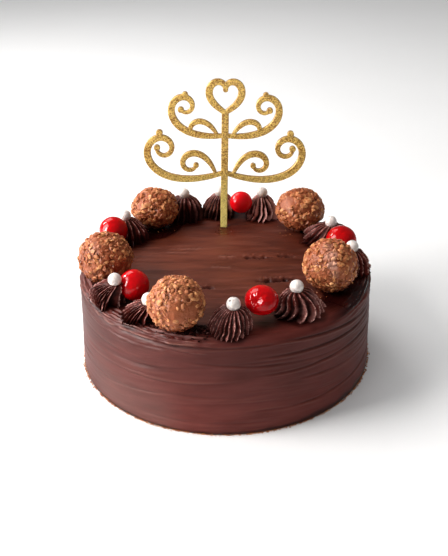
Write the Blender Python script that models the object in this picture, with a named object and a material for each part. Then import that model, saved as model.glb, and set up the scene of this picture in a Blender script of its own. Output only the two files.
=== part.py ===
"""Round chocolate cake. A ring of piped rosettes with sugar pearls, nut-crusted balls and
cherries lies on its top, and a flat gold ornament stands behind the middle on its own stick."""

import math
import random
from dataclasses import dataclass

import bmesh
import bpy
from mathutils import Vector

MM = 0.001
GAP = 0.3 * MM

# Cake body
FOOT_RADIUS = 83.0 * MM
SIDE_TOP_RADIUS = 81.0 * MM
CAKE_HEIGHT = 54.0 * MM
FOOT_BAND = 1.5 * MM
RIM_ROUNDING = 3.0 * MM
RIM_STEPS = 3
SIDE_LEVELS = 8
CAKE_SEGMENTS = 72
TOP_RING_RADII = [50.0 * MM, 33.0 * MM, 16.0 * MM]

# Spatula marks and the ragged lip. A side wave is (weight, pitch in height, swing, turns, phase).
SIDE_RELIEF = 0.5 * MM
SIDE_WAVES = [(0.3, 2.3 * MM, 1.5, 1.0, 0.6), (0.2, 4.1 * MM, 2.0, 2.0, 1.1)]
TOP_RELIEF = 0.35 * MM
TOP_WAVE_PITCH = 5.2 * MM
TOP_WAVE_BEND = 21.0 * MM
LIP_BEARING = math.radians(-140.0)
LIP_HALF_SPAN = math.radians(50.0)
LIP_RISE = 0.6 * MM
LIP_SPREAD = 0.5
LIP_RAGGEDNESS = 0.4
LIP_TEETH = (23.0, 11.0)

# Rosettes, as parts of their own radius or in the order of their levels
ROSETTE_DOME_STEPS = 4
ROSETTE_FOOT_SHARE = 0.86
ROSETTE_BULGE_HEIGHT = 0.18
ROSETTE_OVERHANG = 2.0 * MM
ROSETTE_CLEARANCE = 0.6 * MM
ROSETTE_TOUCH = 0.9 * MM
RIB_DEPTH = 0.17
RIB_SPREAD = 0.06
LEAN_POWER = 1.3

# Pearls
PEARL_RADIUS = 3.5 * MM
PEARL_SEAT_RIM = 3.1 * MM
PEARL_SEAT_STEP = 1.7 * MM
PEARL_SEGMENTS = 10
PEARL_LEVELS = 6

# Balls and cherries
BALL_SINK = 0.5 * MM
BALL_SUBDIVISIONS = 3
BALL_CRAG = 0.055
CHERRY_SEGMENTS = 14
CHERRY_LEVELS = 8
CHERRY_DIMPLE_DEPTH = 0.14
CHERRY_DIMPLE_WIDTH = math.radians(24.0)

# Ornament, drawn flat in millimetres from the foot of its stick at the cake's top
ORNAMENT_FOOT = Vector((-0.5 * MM, 52.7 * MM, CAKE_HEIGHT))
ORNAMENT_THICKNESS = 2.6 * MM
ORNAMENT_LEAN = math.radians(1.2)
STICK_WIDTH = 4.2
STICK_TOP = 73.0
STICK_DEPTH = 28.0
SLOT_TOP = 10.0
ROUND_END_SEGMENTS = 10

# Edges sharper than these angles, in degrees, stay creased.
SMOOTH_ANGLE = 40.0
BALL_SMOOTH_ANGLE = 25.0
ROSETTE_SMOOTH_ANGLE = 20.0


@dataclass
class Ball:
    """A nut-crusted ball that stands on the cake; ring and radius in millimetres."""

    name: str
    ring: float
    bearing: float
    radius: float
    squash: float


@dataclass
class Cherry:
    """A cherry; height is its middle's, above the cake's top. Its dimple looks along dimple."""

    name: str
    ring: float
    bearing: float
    height: float
    radius: float
    squash: float
    dimple: tuple


@dataclass
class Rosette:
    """A rosette and the pearl pressed into its tip; twist in degrees from foot to tip."""

    name: str
    ring: float
    bearing: float
    radius: float
    ribs: int
    twist: float
    fullness: float
    pearl_name: str
    pearl_ring: float
    pearl_bearing: float
    pearl_height: float


@dataclass
class Stroke:
    """A pen stroke of the ornament. Its curvature (1/mm) grows from first to last by power."""

    start: tuple
    heading: float
    first_curve: float
    last_curve: float
    power: float
    length: float
    steps: int
    widths: tuple
    end_radius: float


BALLS = [
    Ball("nut_ball_1", 71.2, -109.6, 14.2, 1.0),
    Ball("nut_ball_2", 66.5, -164.6, 14.5, 1.0),
    Ball("nut_ball_3", 67.7, 128.7, 14.6, 0.85),
    Ball("nut_ball_4", 65.6, 45.6, 15.0, 0.87),
    Ball("nut_ball_5", 62.4, -28.3, 14.6, 1.0),
]

CHERRIES = [
    Cherry("cherry_1", 68.8, 160.4, 11.2, 8.3, 1.0, (0.3, 0.9, -0.2)),
    Cherry("cherry_2", 61.7, -139.7, 9.3, 8.0, 1.05, (0.7, 0.6, -0.3)),
    Cherry("cherry_3", 63.0, -73.7, 11.5, 8.5, 0.88, (-0.47, -0.66, 0.59)),
    Cherry("cherry_4", 66.1, 6.2, 11.0, 8.9, 0.95, (-0.2, 0.9, 0.3)),
    Cherry("cherry_5", 64.7, 80.7, 10.6, 7.1, 1.0, (0.1, 0.95, 0.2)),
]

ROSETTES = [
    Rosette("rosette_1", 72.2, -146.9, 11.5, 18, 12.0, 1.2, "pearl_1", 71.7, -141.4, 15.2),
    Rosette("rosette_2", 70.4, -127.5, 10.5, 16, 8.0, 1.2, "pearl_2", 68.8, -123.7, 10.7),
    Rosette("rosette_3", 68.8, -88.7, 11.0, 24, 4.0, 1.0, "pearl_3", 69.3, -86.9, 14.5),
    Rosette("rosette_4", 65.2, -54.9, 13.3, 20, 34.0, 1.3, "pearl_4", 64.5, -56.8, 15.3),
    Rosette("rosette_5", 69.7, -8.2, 11.3, 18, 16.0, 1.1, "pearl_5", 70.0, -6.9, 14.5),
    Rosette("rosette_6", 66.6, 26.8, 14.3, 14, 24.0, 1.2, "pearl_6", 68.6, 24.4, 12.8),
    Rosette("rosette_7", 70.4, 70.8, 11.0, 16, 10.0, 1.6, "pearl_7", 72.1, 70.7, 15.2),
    Rosette("rosette_8", 69.8, 93.3, 10.9, 18, 6.0, 1.1, "pearl_8", 71.1, 92.1, 14.9),
    Rosette("rosette_9", 68.5, 111.0, 11.5, 16, 14.0, 1.1, "pearl_9", 72.2, 110.5, 15.2),
    Rosette("rosette_10", 66.1, 149.6, 12.0, 16, 14.0, 1.3, "pearl_10", 69.4, 148.6, 14.5),
    Rosette("rosette_11", 69.8, 174.7, 9.8, 16, 10.0, 1.1, "pearl_11", 69.3, 175.0, 12.5),
]

# Half of the ornament; the other half is its mirror image across the stick.
STROKES = [
    Stroke((0.0, 35.0), -20.0, 0.012, 0.27, 2.3, 93.0, 24, (2.6, 4.4, 2.0), 1.9),
    Stroke((5.0, 33.5), 68.0, -0.012, -0.30, 1.3, 42.0, 16, (1.8, 3.7, 1.6), 1.7),
    Stroke((0.0, 58.0), -8.0, 0.018, 0.31, 2.2, 68.0, 21, (2.4, 4.2, 1.8), 1.8),
    Stroke((4.0, 57.5), 60.0, -0.02, -0.36, 1.4, 30.0, 13, (1.6, 3.2, 1.4), 1.5),
    Stroke((0.0, 71.5), 37.0, -0.0116, 0.2947, 1.083, 31.7, 15, (2.6, 4.2, 2.6), 1.3),
]
BEADS = [(38.5, 59.2, 2.0), (23.2, 82.1, 1.7)]

# Surfaces: linear colour, roughness, metallic
SURFACES = {
    "ganache": ((0.135, 0.042, 0.030), 0.42, 0.0),
    "cream": ((0.045, 0.014, 0.012), 0.45, 0.0),
    "nut_coat": ((0.310, 0.125, 0.052), 0.6, 0.0),
    "cherry": ((0.520, 0.004, 0.008), 0.12, 0.0),
    "pearl": ((0.760, 0.700, 0.640), 0.3, 0.0),
    "gold": ((0.600, 0.360, 0.075), 0.35, 1.0),
}


def clear_scene():
    for obj in list(bpy.data.objects):
        bpy.data.objects.remove(obj, do_unlink=True)


def make_material(name):
    colour, roughness, metallic = SURFACES[name]
    material = bpy.data.materials.new(name)
    material.use_nodes = True
    shader = material.node_tree.nodes["Principled BSDF"]
    shader.inputs["Base Color"].default_value = (*colour, 1.0)
    shader.inputs["Roughness"].default_value = roughness
    shader.inputs["Metallic"].default_value = metallic
    material.diffuse_color = (*colour, 1.0)
    return material


def add_object(name, mesh_builder, material, place, parent, smooth_angle=SMOOTH_ANGLE):
    """Turns a bmesh into a named object with its origin at place, in the cake's frame."""
    mesh = bpy.data.meshes.new(name)
    mesh_builder.to_mesh(mesh)
    mesh_builder.free()
    mesh.shade_smooth()
    mesh.set_sharp_from_angle(angle=math.radians(smooth_angle))
    mesh.materials.append(material)
    obj = bpy.data.objects.new(name, mesh)
    obj.location = place
    obj.parent = parent
    bpy.context.scene.collection.objects.link(obj)
    return obj


def loft(rings):
    """Closed skin over level rings, lowest first. The last is a point; the first is one or flat."""
    builder = bmesh.new()
    rows = [[builder.verts.new(point) for point in ring] for ring in rings]
    for lower, upper in zip(rows, rows[1:]):
        if len(upper) == 1:
            for index in range(len(lower)):
                builder.faces.new((lower[index], lower[(index + 1) % len(lower)], upper[0]))
        elif len(lower) == 1:
            for index in range(len(upper)):
                builder.faces.new((lower[0], upper[(index + 1) % len(upper)], upper[index]))
        else:
            for index in range(len(lower)):
                after = (index + 1) % len(lower)
                builder.faces.new((lower[index], lower[after], upper[after], upper[index]))
    if len(rows[0]) > 1:
        builder.faces.new(reversed(rows[0]))
    return builder


def on_top(ring, bearing, height):
    """A point over the cake's top, from millimetres and degrees."""
    angle = math.radians(bearing)
    across = ring * MM
    return Vector((across * math.cos(angle), across * math.sin(angle), CAKE_HEIGHT + height * MM))


# Cake


def spatula_mark(angle, height):
    """How deep the spatula pressed at a point of the side, from 0 to 1."""
    depth = 0.5
    for weight, pitch, swing, turns, phase in SIDE_WAVES:
        depth += weight * math.sin(height / pitch + swing * math.sin(turns * angle + phase))
    return depth


def lip_rise(angle):
    """Height of the ragged lip that the side's coating leaves along one stretch of the rim."""
    away = (angle - LIP_BEARING + math.pi) % (2.0 * math.pi) - math.pi
    if abs(away) >= LIP_HALF_SPAN:
        return 0.0
    fine, coarse = LIP_TEETH
    ragged = 1.0 - LIP_RAGGEDNESS * (1.0 - math.sin(fine * angle) * math.sin(coarse * angle))
    return LIP_RISE * ragged * math.cos(0.5 * math.pi * away / LIP_HALF_SPAN)


def cake_ring(radius_at, height_at):
    ring = []
    for index in range(CAKE_SEGMENTS):
        angle = 2.0 * math.pi * index / CAKE_SEGMENTS
        radius = radius_at(angle)
        point = (radius * math.cos(angle), radius * math.sin(angle), height_at(angle))
        ring.append(Vector(point))
    return ring


def side_ring(share):
    rim_start = CAKE_HEIGHT - RIM_ROUNDING
    height = FOOT_BAND + (rim_start - FOOT_BAND) * share
    radius = FOOT_RADIUS + (SIDE_TOP_RADIUS - FOOT_RADIUS) * share
    relief = SIDE_RELIEF * math.sqrt(max(0.0, math.sin(math.pi * share)))
    return cake_ring(
        lambda angle: radius - relief * spatula_mark(angle, height),
        lambda angle: height,
    )


def rim_ring(share):
    turn = 0.5 * math.pi * share
    radius = SIDE_TOP_RADIUS - RIM_ROUNDING * (1.0 - math.cos(turn))
    height = CAKE_HEIGHT - RIM_ROUNDING * (1.0 - math.sin(turn))
    lift = math.sin(math.pi * share)
    return cake_ring(
        lambda angle: radius + LIP_SPREAD * lift * lip_rise(angle),
        lambda angle: height + lift * lip_rise(angle),
    )


def top_ring(radius):
    def height_at(angle):
        across = radius * math.cos(angle)
        along = radius * math.sin(angle)
        wave = math.sin(along / TOP_WAVE_PITCH + math.sin(across / TOP_WAVE_BEND))
        return CAKE_HEIGHT - TOP_RELIEF * (0.5 + 0.5 * wave)

    return cake_ring(lambda angle: radius, height_at)


def build_cake(material, parent):
    rings = [cake_ring(lambda angle: FOOT_RADIUS, lambda angle: 0.0)]
    rings.append(cake_ring(lambda angle: FOOT_RADIUS, lambda angle: FOOT_BAND))
    rings += [side_ring(step / SIDE_LEVELS) for step in range(1, SIDE_LEVELS + 1)]
    rings += [rim_ring(step / RIM_STEPS) for step in range(1, RIM_STEPS + 1)]
    rings += [top_ring(radius) for radius in TOP_RING_RADII]
    rings.append([Vector((0.0, 0.0, CAKE_HEIGHT - 0.5 * TOP_RELIEF))])
    return add_object("cake", loft(rings), material, (0.0, 0.0, 0.0), parent)


def cut_seats(cake, cutters):
    """Presses the seats of the balls and the slot of the stick into the cake."""
    collection = bpy.data.collections.new("seat_cutters")
    bpy.context.scene.collection.children.link(collection)
    for cutter in cutters:
        bpy.context.scene.collection.objects.unlink(cutter)
        collection.objects.link(cutter)
        cutter.hide_render = True
        cutter.display_type = "WIRE"
    cut = cake.modifiers.new("Seats", "BOOLEAN")
    cut.operation = "DIFFERENCE"
    cut.operand_type = "COLLECTION"
    cut.collection = collection


# Balls


def ball_place(ball):
    return on_top(ball.ring, ball.bearing, ball.radius * ball.squash - BALL_SINK / MM)


def ball_mesh(radius, squash, crag, seed):
    """A sphere of the given radius whose surface is chipped inward by up to crag of it."""
    chips = random.Random(seed)
    builder = bmesh.new()
    bmesh.ops.create_icosphere(builder, subdivisions=BALL_SUBDIVISIONS, radius=radius)
    for vertex in builder.verts:
        vertex.co *= 1.0 - crag * chips.random()
        vertex.co.z *= squash
    return builder


def build_ball(index, ball, material, parent):
    builder = ball_mesh(ball.radius * MM, ball.squash, BALL_CRAG, index)
    return add_object(ball.name, builder, material, ball_place(ball), parent, BALL_SMOOTH_ANGLE)


def build_ball_cutter(ball, material, parent):
    builder = ball_mesh(ball.radius * MM + GAP, ball.squash, 0.0, 0)
    return add_object(ball.name + "_seat", builder, material, ball_place(ball), parent)


# Cherries and pearls


def cherry_place(cherry):
    return on_top(cherry.ring, cherry.bearing, cherry.height)


def sphere_rings(segments, levels, point_at):
    """Rings of points from the lower pole to the upper one, each from point_at(polar, angle)."""
    rings = []
    for level in range(levels + 1):
        polar = math.pi * (1.0 - level / levels)
        count = 1 if level in (0, levels) else segments
        rings.append([point_at(polar, 2.0 * math.pi * i / segments) for i in range(count)])
    return rings


def build_cherry(cherry, material, parent):
    turn = Vector(cherry.dimple).to_track_quat("Z", "Y")

    def point_at(polar, angle):
        dent = CHERRY_DIMPLE_DEPTH * math.exp(-((polar / CHERRY_DIMPLE_WIDTH) ** 2))
        radius = cherry.radius * MM * (1.0 - dent)
        flat = radius * math.sin(polar)
        level = radius * math.cos(polar)
        point = turn @ Vector((flat * math.cos(angle), flat * math.sin(angle), level))
        point.z *= cherry.squash
        return point

    builder = loft(sphere_rings(CHERRY_SEGMENTS, CHERRY_LEVELS, point_at))
    return add_object(cherry.name, builder, material, cherry_place(cherry), parent)


def pearl_place(rosette):
    return on_top(rosette.pearl_ring, rosette.pearl_bearing, rosette.pearl_height)


def build_pearl(rosette, material, parent):
    def point_at(polar, angle):
        flat = PEARL_RADIUS * math.sin(polar)
        level = PEARL_RADIUS * math.cos(polar)
        return Vector((flat * math.cos(angle), flat * math.sin(angle), level))

    builder = loft(sphere_rings(PEARL_SEGMENTS, PEARL_LEVELS, point_at))
    return add_object(rosette.pearl_name, builder, material, pearl_place(rosette), parent)


# Rosettes


def rosette_place(rosette):
    return on_top(rosette.ring, rosette.bearing, GAP / MM)


def reach_to_round(origin, direction, height, centre, radius, half_height):
    """Distance along direction to a round neighbour at that height, or infinity."""
    level = (height - centre.z) / half_height
    if abs(level) >= 1.0:
        return math.inf
    radius_here = radius * math.sqrt(1.0 - level * level)
    offset = (centre - origin).to_2d()
    along = offset.dot(direction)
    miss = offset.length_squared - along * along
    if along <= 0.0 or miss >= radius_here**2:
        return math.inf
    return along - math.sqrt(radius_here**2 - miss)


def reach_inside_circle(origin, direction, radius):
    """Distance along direction to a circle round the cake's axis, from a point inside it."""
    start = origin.to_2d()
    along = start.dot(direction)
    return math.sqrt(along * along + radius * radius - start.length_squared) - along


def round_neighbours():
    """Middle, radius and half height of each ball and cherry, with the cream's clearance."""
    found = []
    for ball in BALLS:
        radius = ball.radius * MM
        half_height = radius * ball.squash + ROSETTE_CLEARANCE
        found.append((ball_place(ball), radius + ROSETTE_CLEARANCE, half_height))
    for cherry in CHERRIES:
        radius = cherry.radius * MM
        half_height = radius * cherry.squash + ROSETTE_CLEARANCE
        found.append((cherry_place(cherry), radius + ROSETTE_CLEARANCE, half_height))
    return found


def free_reach(rosette, origin, direction, height, wanted, edge):
    """Shortens a wanted reach to what the neighbours and the cake's edge leave free."""
    reach = min(wanted, reach_inside_circle(origin, direction, edge))
    for centre, radius, half_height in round_neighbours():
        reach = min(reach, reach_to_round(origin, direction, height, centre, radius, half_height))
    for other in ROSETTES:
        if other is rosette:
            continue
        apart = (rosette_place(other) - rosette_place(rosette)).to_2d()
        if apart.length > (rosette.radius + other.radius) * MM + ROSETTE_TOUCH:
            continue
        middle = (rosette_place(other) + rosette_place(rosette)).to_2d() / 2.0
        toward = apart.normalized()
        if direction.dot(toward) > 0.0:
            to_plane = (middle - origin.to_2d()).dot(toward) - 0.5 * GAP
            reach = min(reach, to_plane / direction.dot(toward))
    return reach


def rosette_ring(rosette, share, radius, rib_depth, edge, rib_sizes):
    """One level of the rosette, at a share of the way from its foot to its rim."""
    foot = rosette_place(rosette)
    tip = pearl_place(rosette)
    rim_drop = math.sqrt((PEARL_RADIUS + GAP) ** 2 - PEARL_SEAT_RIM**2)
    lean = share**LEAN_POWER
    origin = foot.lerp(tip, lean)
    origin.z = foot.z + (tip.z - rim_drop - foot.z) * share
    turned = math.radians(rosette.twist) * share
    ring = []
    for index in range(2 * rosette.ribs):
        angle = math.pi * index / rosette.ribs + turned
        direction = Vector((math.cos(angle), math.sin(angle)))
        valley = rib_depth if index % 2 else rib_depth * rib_sizes[index // 2]
        wanted = radius * (1.0 - valley)
        reach = free_reach(rosette, origin, direction, origin.z, wanted, edge)
        point = origin + Vector((*(reach * direction), 0.0))
        ring.append(point - foot)
    return ring


def seat_ring(rosette, radius):
    """A level of the hollow that the pearl sits in, on a sphere round the pearl's middle."""
    foot = rosette_place(rosette)
    tip = pearl_place(rosette)
    drop = math.sqrt((PEARL_RADIUS + GAP) ** 2 - radius**2)
    turned = math.radians(rosette.twist)
    ring = []
    for index in range(2 * rosette.ribs):
        angle = math.pi * index / rosette.ribs + turned
        offset = Vector((radius * math.cos(angle), radius * math.sin(angle), -drop))
        ring.append(tip + offset - foot)
    return ring


def build_rosette(index, rosette, material, parent):
    sizes = random.Random(index)
    rib_sizes = [sizes.uniform(0.0, RIB_SPREAD / RIB_DEPTH) for _ in range(rosette.ribs)]
    radius = rosette.radius * MM
    flat_edge = SIDE_TOP_RADIUS - RIM_ROUNDING + GAP
    rings = [rosette_ring(rosette, 0.0, radius * ROSETTE_FOOT_SHARE, RIB_DEPTH, flat_edge, rib_sizes)]
    for step in range(ROSETTE_DOME_STEPS):
        turn = 0.5 * math.pi * step / ROSETTE_DOME_STEPS
        share = ROSETTE_BULGE_HEIGHT + (1.0 - ROSETTE_BULGE_HEIGHT) * math.sin(turn)
        fullness = math.cos(turn) ** rosette.fullness
        level_radius = PEARL_SEAT_RIM + (radius - PEARL_SEAT_RIM) * fullness
        edge = flat_edge + ROSETTE_OVERHANG
        depth = RIB_DEPTH * math.cos(turn)
        rings.append(rosette_ring(rosette, share, level_radius, depth, edge, rib_sizes))
    rings.append(seat_ring(rosette, PEARL_SEAT_RIM))
    rings.append(seat_ring(rosette, PEARL_SEAT_STEP))
    tip = pearl_place(rosette) - rosette_place(rosette)
    rings.append([tip - Vector((0.0, 0.0, PEARL_RADIUS + GAP))])
    place = rosette_place(rosette)
    return add_object(rosette.name, loft(rings), material, place, parent, ROSETTE_SMOOTH_ANGLE)


# Ornament


def stroke_path(stroke):
    """Points along a stroke in millimetres, with the unit normal at each."""
    x, z = stroke.start
    heading = math.radians(stroke.heading)
    step = stroke.length / stroke.steps
    path = []
    for index in range(stroke.steps + 1):
        path.append((Vector((x, z)), Vector((-math.sin(heading), math.cos(heading)))))
        share = ((index + 0.5) / stroke.steps) ** stroke.power
        turn = (stroke.first_curve + (stroke.last_curve - stroke.first_curve) * share) * step
        x += step * math.cos(heading + 0.5 * turn)
        z += step * math.sin(heading + 0.5 * turn)
        heading += turn
    return path


def stroke_outline(stroke, side):
    """Closed outline of a stroke that swells in its middle, on one side of the stick."""
    left, right = [], []
    first, middle, last = stroke.widths
    for index, (point, normal) in enumerate(stroke_path(stroke)):
        share = index / stroke.steps
        ends = first * (1.0 - share) + last * share
        swell = (middle - 0.5 * (first + last)) * math.sin(math.pi * share)
        half = 0.5 * (ends + swell)
        left.append(point + half * normal)
        right.append(point - half * normal)
    return [Vector((side * p.x, p.y)) for p in left + right[::-1]]


def disc_outline(centre, radius):
    """A round in the ornament's plane."""
    turns = [2.0 * math.pi * i / ROUND_END_SEGMENTS for i in range(ROUND_END_SEGMENTS)]
    return [Vector(centre) + radius * Vector((math.cos(t), math.sin(t))) for t in turns]


def plate(name, outline, thickness, material):
    """An upright plate of the given outline, in millimetres, centred on its own plane."""
    area = sum(a.x * b.y - b.x * a.y for a, b in zip(outline, outline[1:] + outline[:1]))
    points = outline if area > 0.0 else outline[::-1]
    builder = bmesh.new()
    front = [builder.verts.new((p.x * MM, -0.5 * thickness, p.y * MM)) for p in points]
    back = [builder.verts.new((p.x * MM, 0.5 * thickness, p.y * MM)) for p in points]
    builder.faces.new(front)
    builder.faces.new(back[::-1])
    for index in range(len(points)):
        after = (index + 1) % len(points)
        builder.faces.new((front[after], front[index], back[index], back[after]))
    return add_object(name, builder, material, (0.0, 0.0, 0.0), None)


def unite(name, pieces, material, parent):
    """Joins overlapping pieces into one closed body and removes them."""
    base, *others = pieces
    collection = bpy.data.collections.new(name + "_pieces")
    bpy.context.scene.collection.children.link(collection)
    for piece in others:
        bpy.context.scene.collection.objects.unlink(piece)
        collection.objects.link(piece)
    union = base.modifiers.new("Union", "BOOLEAN")
    union.operation = "UNION"
    union.operand_type = "COLLECTION"
    union.collection = collection
    graph = bpy.context.evaluated_depsgraph_get()
    mesh = bpy.data.meshes.new_from_object(base.evaluated_get(graph))
    mesh.name = name
    mesh.materials.clear()
    mesh.materials.append(material)
    for piece in pieces:
        bpy.data.objects.remove(piece, do_unlink=True)
    bpy.data.collections.remove(collection)
    obj = bpy.data.objects.new(name, mesh)
    obj.parent = parent
    bpy.context.scene.collection.objects.link(obj)
    return obj


def stick_outline(low, high, width):
    half = 0.5 * width
    return [Vector((-half, low)), Vector((half, low)), Vector((half, high)), Vector((-half, high))]


def build_ornament(material, parent):
    outlines = [stick_outline(-STICK_DEPTH, STICK_TOP, STICK_WIDTH)]
    for side in (1, -1):
        for stroke in STROKES:
            end = stroke_path(stroke)[-1][0]
            outlines.append(stroke_outline(stroke, side))
            outlines.append(disc_outline((side * end.x, end.y), stroke.end_radius))
        outlines += [disc_outline((side * x, z), radius) for x, z, radius in BEADS]
    pieces = [plate(f"stroke_{i}", o, ORNAMENT_THICKNESS, material) for i, o in enumerate(outlines)]
    ornament = unite("topper", pieces, material, parent)
    ornament.location = ORNAMENT_FOOT
    ornament.rotation_euler = (0.0, ORNAMENT_LEAN, 0.0)
    return ornament


def build_stick_cutter(material, parent):
    gap = GAP / MM
    outline = stick_outline(-STICK_DEPTH - gap, SLOT_TOP, STICK_WIDTH + 2.0 * gap)
    cutter = plate("stick_slot", outline, ORNAMENT_THICKNESS + 2.0 * GAP, material)
    cutter.parent = parent
    cutter.location = ORNAMENT_FOOT
    cutter.rotation_euler = (0.0, ORNAMENT_LEAN, 0.0)
    return cutter


def build_all():
    clear_scene()
    frame = bpy.data.objects.new("cake_frame", None)
    bpy.context.scene.collection.objects.link(frame)

    surfaces = {name: make_material(name) for name in SURFACES}
    cake = build_cake(surfaces["ganache"], frame)
    cutters = [build_ball_cutter(ball, surfaces["ganache"], frame) for ball in BALLS]
    cutters.append(build_stick_cutter(surfaces["ganache"], frame))
    cut_seats(cake, cutters)
    for index, ball in enumerate(BALLS):
        build_ball(index, ball, surfaces["nut_coat"], frame)
    for cherry in CHERRIES:
        build_cherry(cherry, surfaces["cherry"], frame)
    for index, rosette in enumerate(ROSETTES):
        build_rosette(index, rosette, surfaces["cream"], frame)
        build_pearl(rosette, surfaces["pearl"], frame)
    build_ornament(surfaces["gold"], frame)


build_all()
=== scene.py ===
"""Looks of the round chocolate cake: satin ganache with spatula marks, piped rosettes with
sugar pearls, nut-crusted balls, glossy cherries and a glittering gold ornament.

Sizes are millimetres in the cake's frame, and become metres when a mesh is made. Bearings
run anticlockwise from +X seen from above, so the front is at -90 degrees."""

import itertools
import math
from dataclasses import dataclass

import bpy
import numpy as np
from mathutils import Matrix, Vector
from mathutils.geometry import delaunay_2d_cdt

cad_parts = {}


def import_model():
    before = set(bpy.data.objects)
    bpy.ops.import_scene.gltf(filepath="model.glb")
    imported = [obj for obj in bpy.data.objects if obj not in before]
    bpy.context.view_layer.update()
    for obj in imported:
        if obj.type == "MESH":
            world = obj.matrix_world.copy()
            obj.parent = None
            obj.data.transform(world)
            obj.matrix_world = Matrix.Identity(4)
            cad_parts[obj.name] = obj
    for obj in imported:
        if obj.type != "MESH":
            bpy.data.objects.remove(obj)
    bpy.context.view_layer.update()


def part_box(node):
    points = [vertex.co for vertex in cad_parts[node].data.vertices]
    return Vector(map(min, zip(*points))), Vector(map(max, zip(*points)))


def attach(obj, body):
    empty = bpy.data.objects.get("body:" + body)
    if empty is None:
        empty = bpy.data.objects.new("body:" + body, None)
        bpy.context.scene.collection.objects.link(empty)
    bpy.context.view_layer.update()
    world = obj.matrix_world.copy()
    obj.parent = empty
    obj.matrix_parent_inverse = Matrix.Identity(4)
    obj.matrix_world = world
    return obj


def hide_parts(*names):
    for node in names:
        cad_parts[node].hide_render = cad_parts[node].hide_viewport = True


MM = 0.001
UP = np.array([0.0, 0.0, 1.0])

# Cake body, as in the solid
FOOT_RADIUS = 83.0
SIDE_TOP_RADIUS = 81.0
CAKE_HEIGHT = 54.0
FOOT_BAND = 1.5
RIM_ROUNDING = 4.5
RIM_START = CAKE_HEIGHT - RIM_ROUNDING
FLAT_RADIUS = SIDE_TOP_RADIUS - RIM_ROUNDING
# About the middle of the rim's rounding, as a distance along the skin from the foot
RIM_MIDDLE = RIM_START + 0.25 * math.pi * RIM_ROUNDING
CAKE_SEGMENTS = 480
SIDE_LEVELS = 100
RIM_LEVELS = 22
TOP_OUTER_LEVELS = 30
TOP_OUTER_WIDTH = 11.0
TOP_STEP_ALONG = 1.25
TOP_STEP_ACROSS = 0.52

# Rosettes
RIB_SAMPLES = 8
ROSETTE_LEVELS = 44
ROSETTE_BULGE_LEVELS = 7
ROSETTE_FOOT_SHARE = 0.86
ROSETTE_BULGE_HEIGHT = 0.18
ROSETTE_OVERHANG = 1.2
ROSETTE_EDGE_RADIUS = 79.6
ROSETTE_TOUCH = 0.9
ROSETTE_FOOT_SINK = 2.0
CREST_REACH = 2.4
PAINTED_FOOT_SHADOW_SHARE = 0.75
DEEPEST_VALLEY = 0.42
FLARE_HEIGHT = 0.3
LEAST_REACH = 0.4
ROSETTE_CREASE = 60.0
PEARL_RADIUS = 3.5
PEARL_SEAT_RIM = 3.1
PEARL_GRID = (36, 56)
CHERRY_GRID = (60, 96)

# Ornament
ORNAMENT_FOOT = np.array([-0.5, 52.7, CAKE_HEIGHT])
ORNAMENT_THICKNESS = 2.6
ORNAMENT_LEAN = math.radians(1.2)
STICK_WIDTH = 4.2
STICK_TOP = 73.0
STICK_DEPTH = 20.0


# Plain mathematics


def hashed(cells, seed):
    """A number from -1 to 1 for each whole-numbered cell."""
    mixed = cells[:, 0] * 73856093 + cells[:, 1] * 19349663 + cells[:, 2] * 83492791 + seed * 50331653
    mixed = (mixed ^ (mixed >> 13)) * 1274126177 & 0x7FFFFFFF
    mixed = (mixed ^ (mixed >> 16)) * 60493 & 0x7FFFFFFF
    return (mixed & 0xFFFF) / 32767.5 - 1.0


def smooth_noise(points, seed=0):
    """Smooth noise from -1 to 1, with one cell to each unit of the points."""
    cells = np.floor(points).astype(np.int64)
    parts = points - cells
    parts = parts * parts * (3.0 - 2.0 * parts)
    total = np.zeros(len(points))
    for corner in itertools.product((0, 1), repeat=3):
        weight = np.ones(len(points))
        for axis in range(3):
            weight = weight * (parts[:, axis] if corner[axis] else 1.0 - parts[:, axis])
        total += weight * hashed(cells + np.array(corner), seed)
    return total


def noise_over(seed, x, y=0.0, z=0.0):
    """Smooth noise at coordinates that are arrays, or single numbers that hold for every point."""
    return smooth_noise(np.column_stack(np.broadcast_arrays(x, y, z)), seed)


def smooth_step(low, high, value):
    """0 up to low, 1 from high on, and a smooth change between them."""
    share = np.clip((value - low) / (high - low), 0.0, 1.0)
    return share * share * (3.0 - 2.0 * share)


def plateau(stops, value):
    """0 outside the first and the last of four stops, and 1 between the middle two."""
    start, full, still_full, end = stops
    return smooth_step(start, full, value) * (1.0 - smooth_step(still_full, end, value))


def bell(value):
    """1 at nought, and a smooth fall to nothing on both sides."""
    return np.exp(-value * value)


def turn_apart(angle, other):
    """Signed angle from other to angle, within half a turn."""
    return (angle - other + math.pi) % (2.0 * math.pi) - math.pi


def unit(vector):
    """The vector with a length of 1."""
    vector = np.asarray(vector, float)
    return vector / np.linalg.norm(vector)


def place_at(reach, bearing, height):
    """Points at a distance from the axis, a bearing in radians and a height."""
    flat = (reach * np.cos(bearing), reach * np.sin(bearing))
    return np.stack(np.broadcast_arrays(*flat, height), axis=-1)


def degrees_from(directions, toward):
    """Angle between each direction and a given one, in degrees."""
    return np.degrees(np.arccos(np.clip(directions @ unit(toward), -1.0, 1.0)))


# Meshes


def ring_faces(rows, columns):
    """Quads between rings of equal size, first ring lowest when its points run anticlockwise."""
    row = np.arange(rows - 1)[:, None] * columns
    column = np.arange(columns)[None, :]
    after = (column + 1) % columns
    quads = np.stack([row + column, row + after, row + columns + after, row + columns + column], axis=-1)
    return quads.reshape(-1, 4).tolist()


def capped_ring_faces(rows, columns):
    """ring_faces closed by a fan round one more point below and one above, which come last."""
    faces = ring_faces(rows, columns)
    below = rows * columns
    for column in range(columns):
        after = (column + 1) % columns
        faces.append((below, after, column))
        faces.append((below + 1, (rows - 1) * columns + column, (rows - 1) * columns + after))
    return faces


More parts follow.
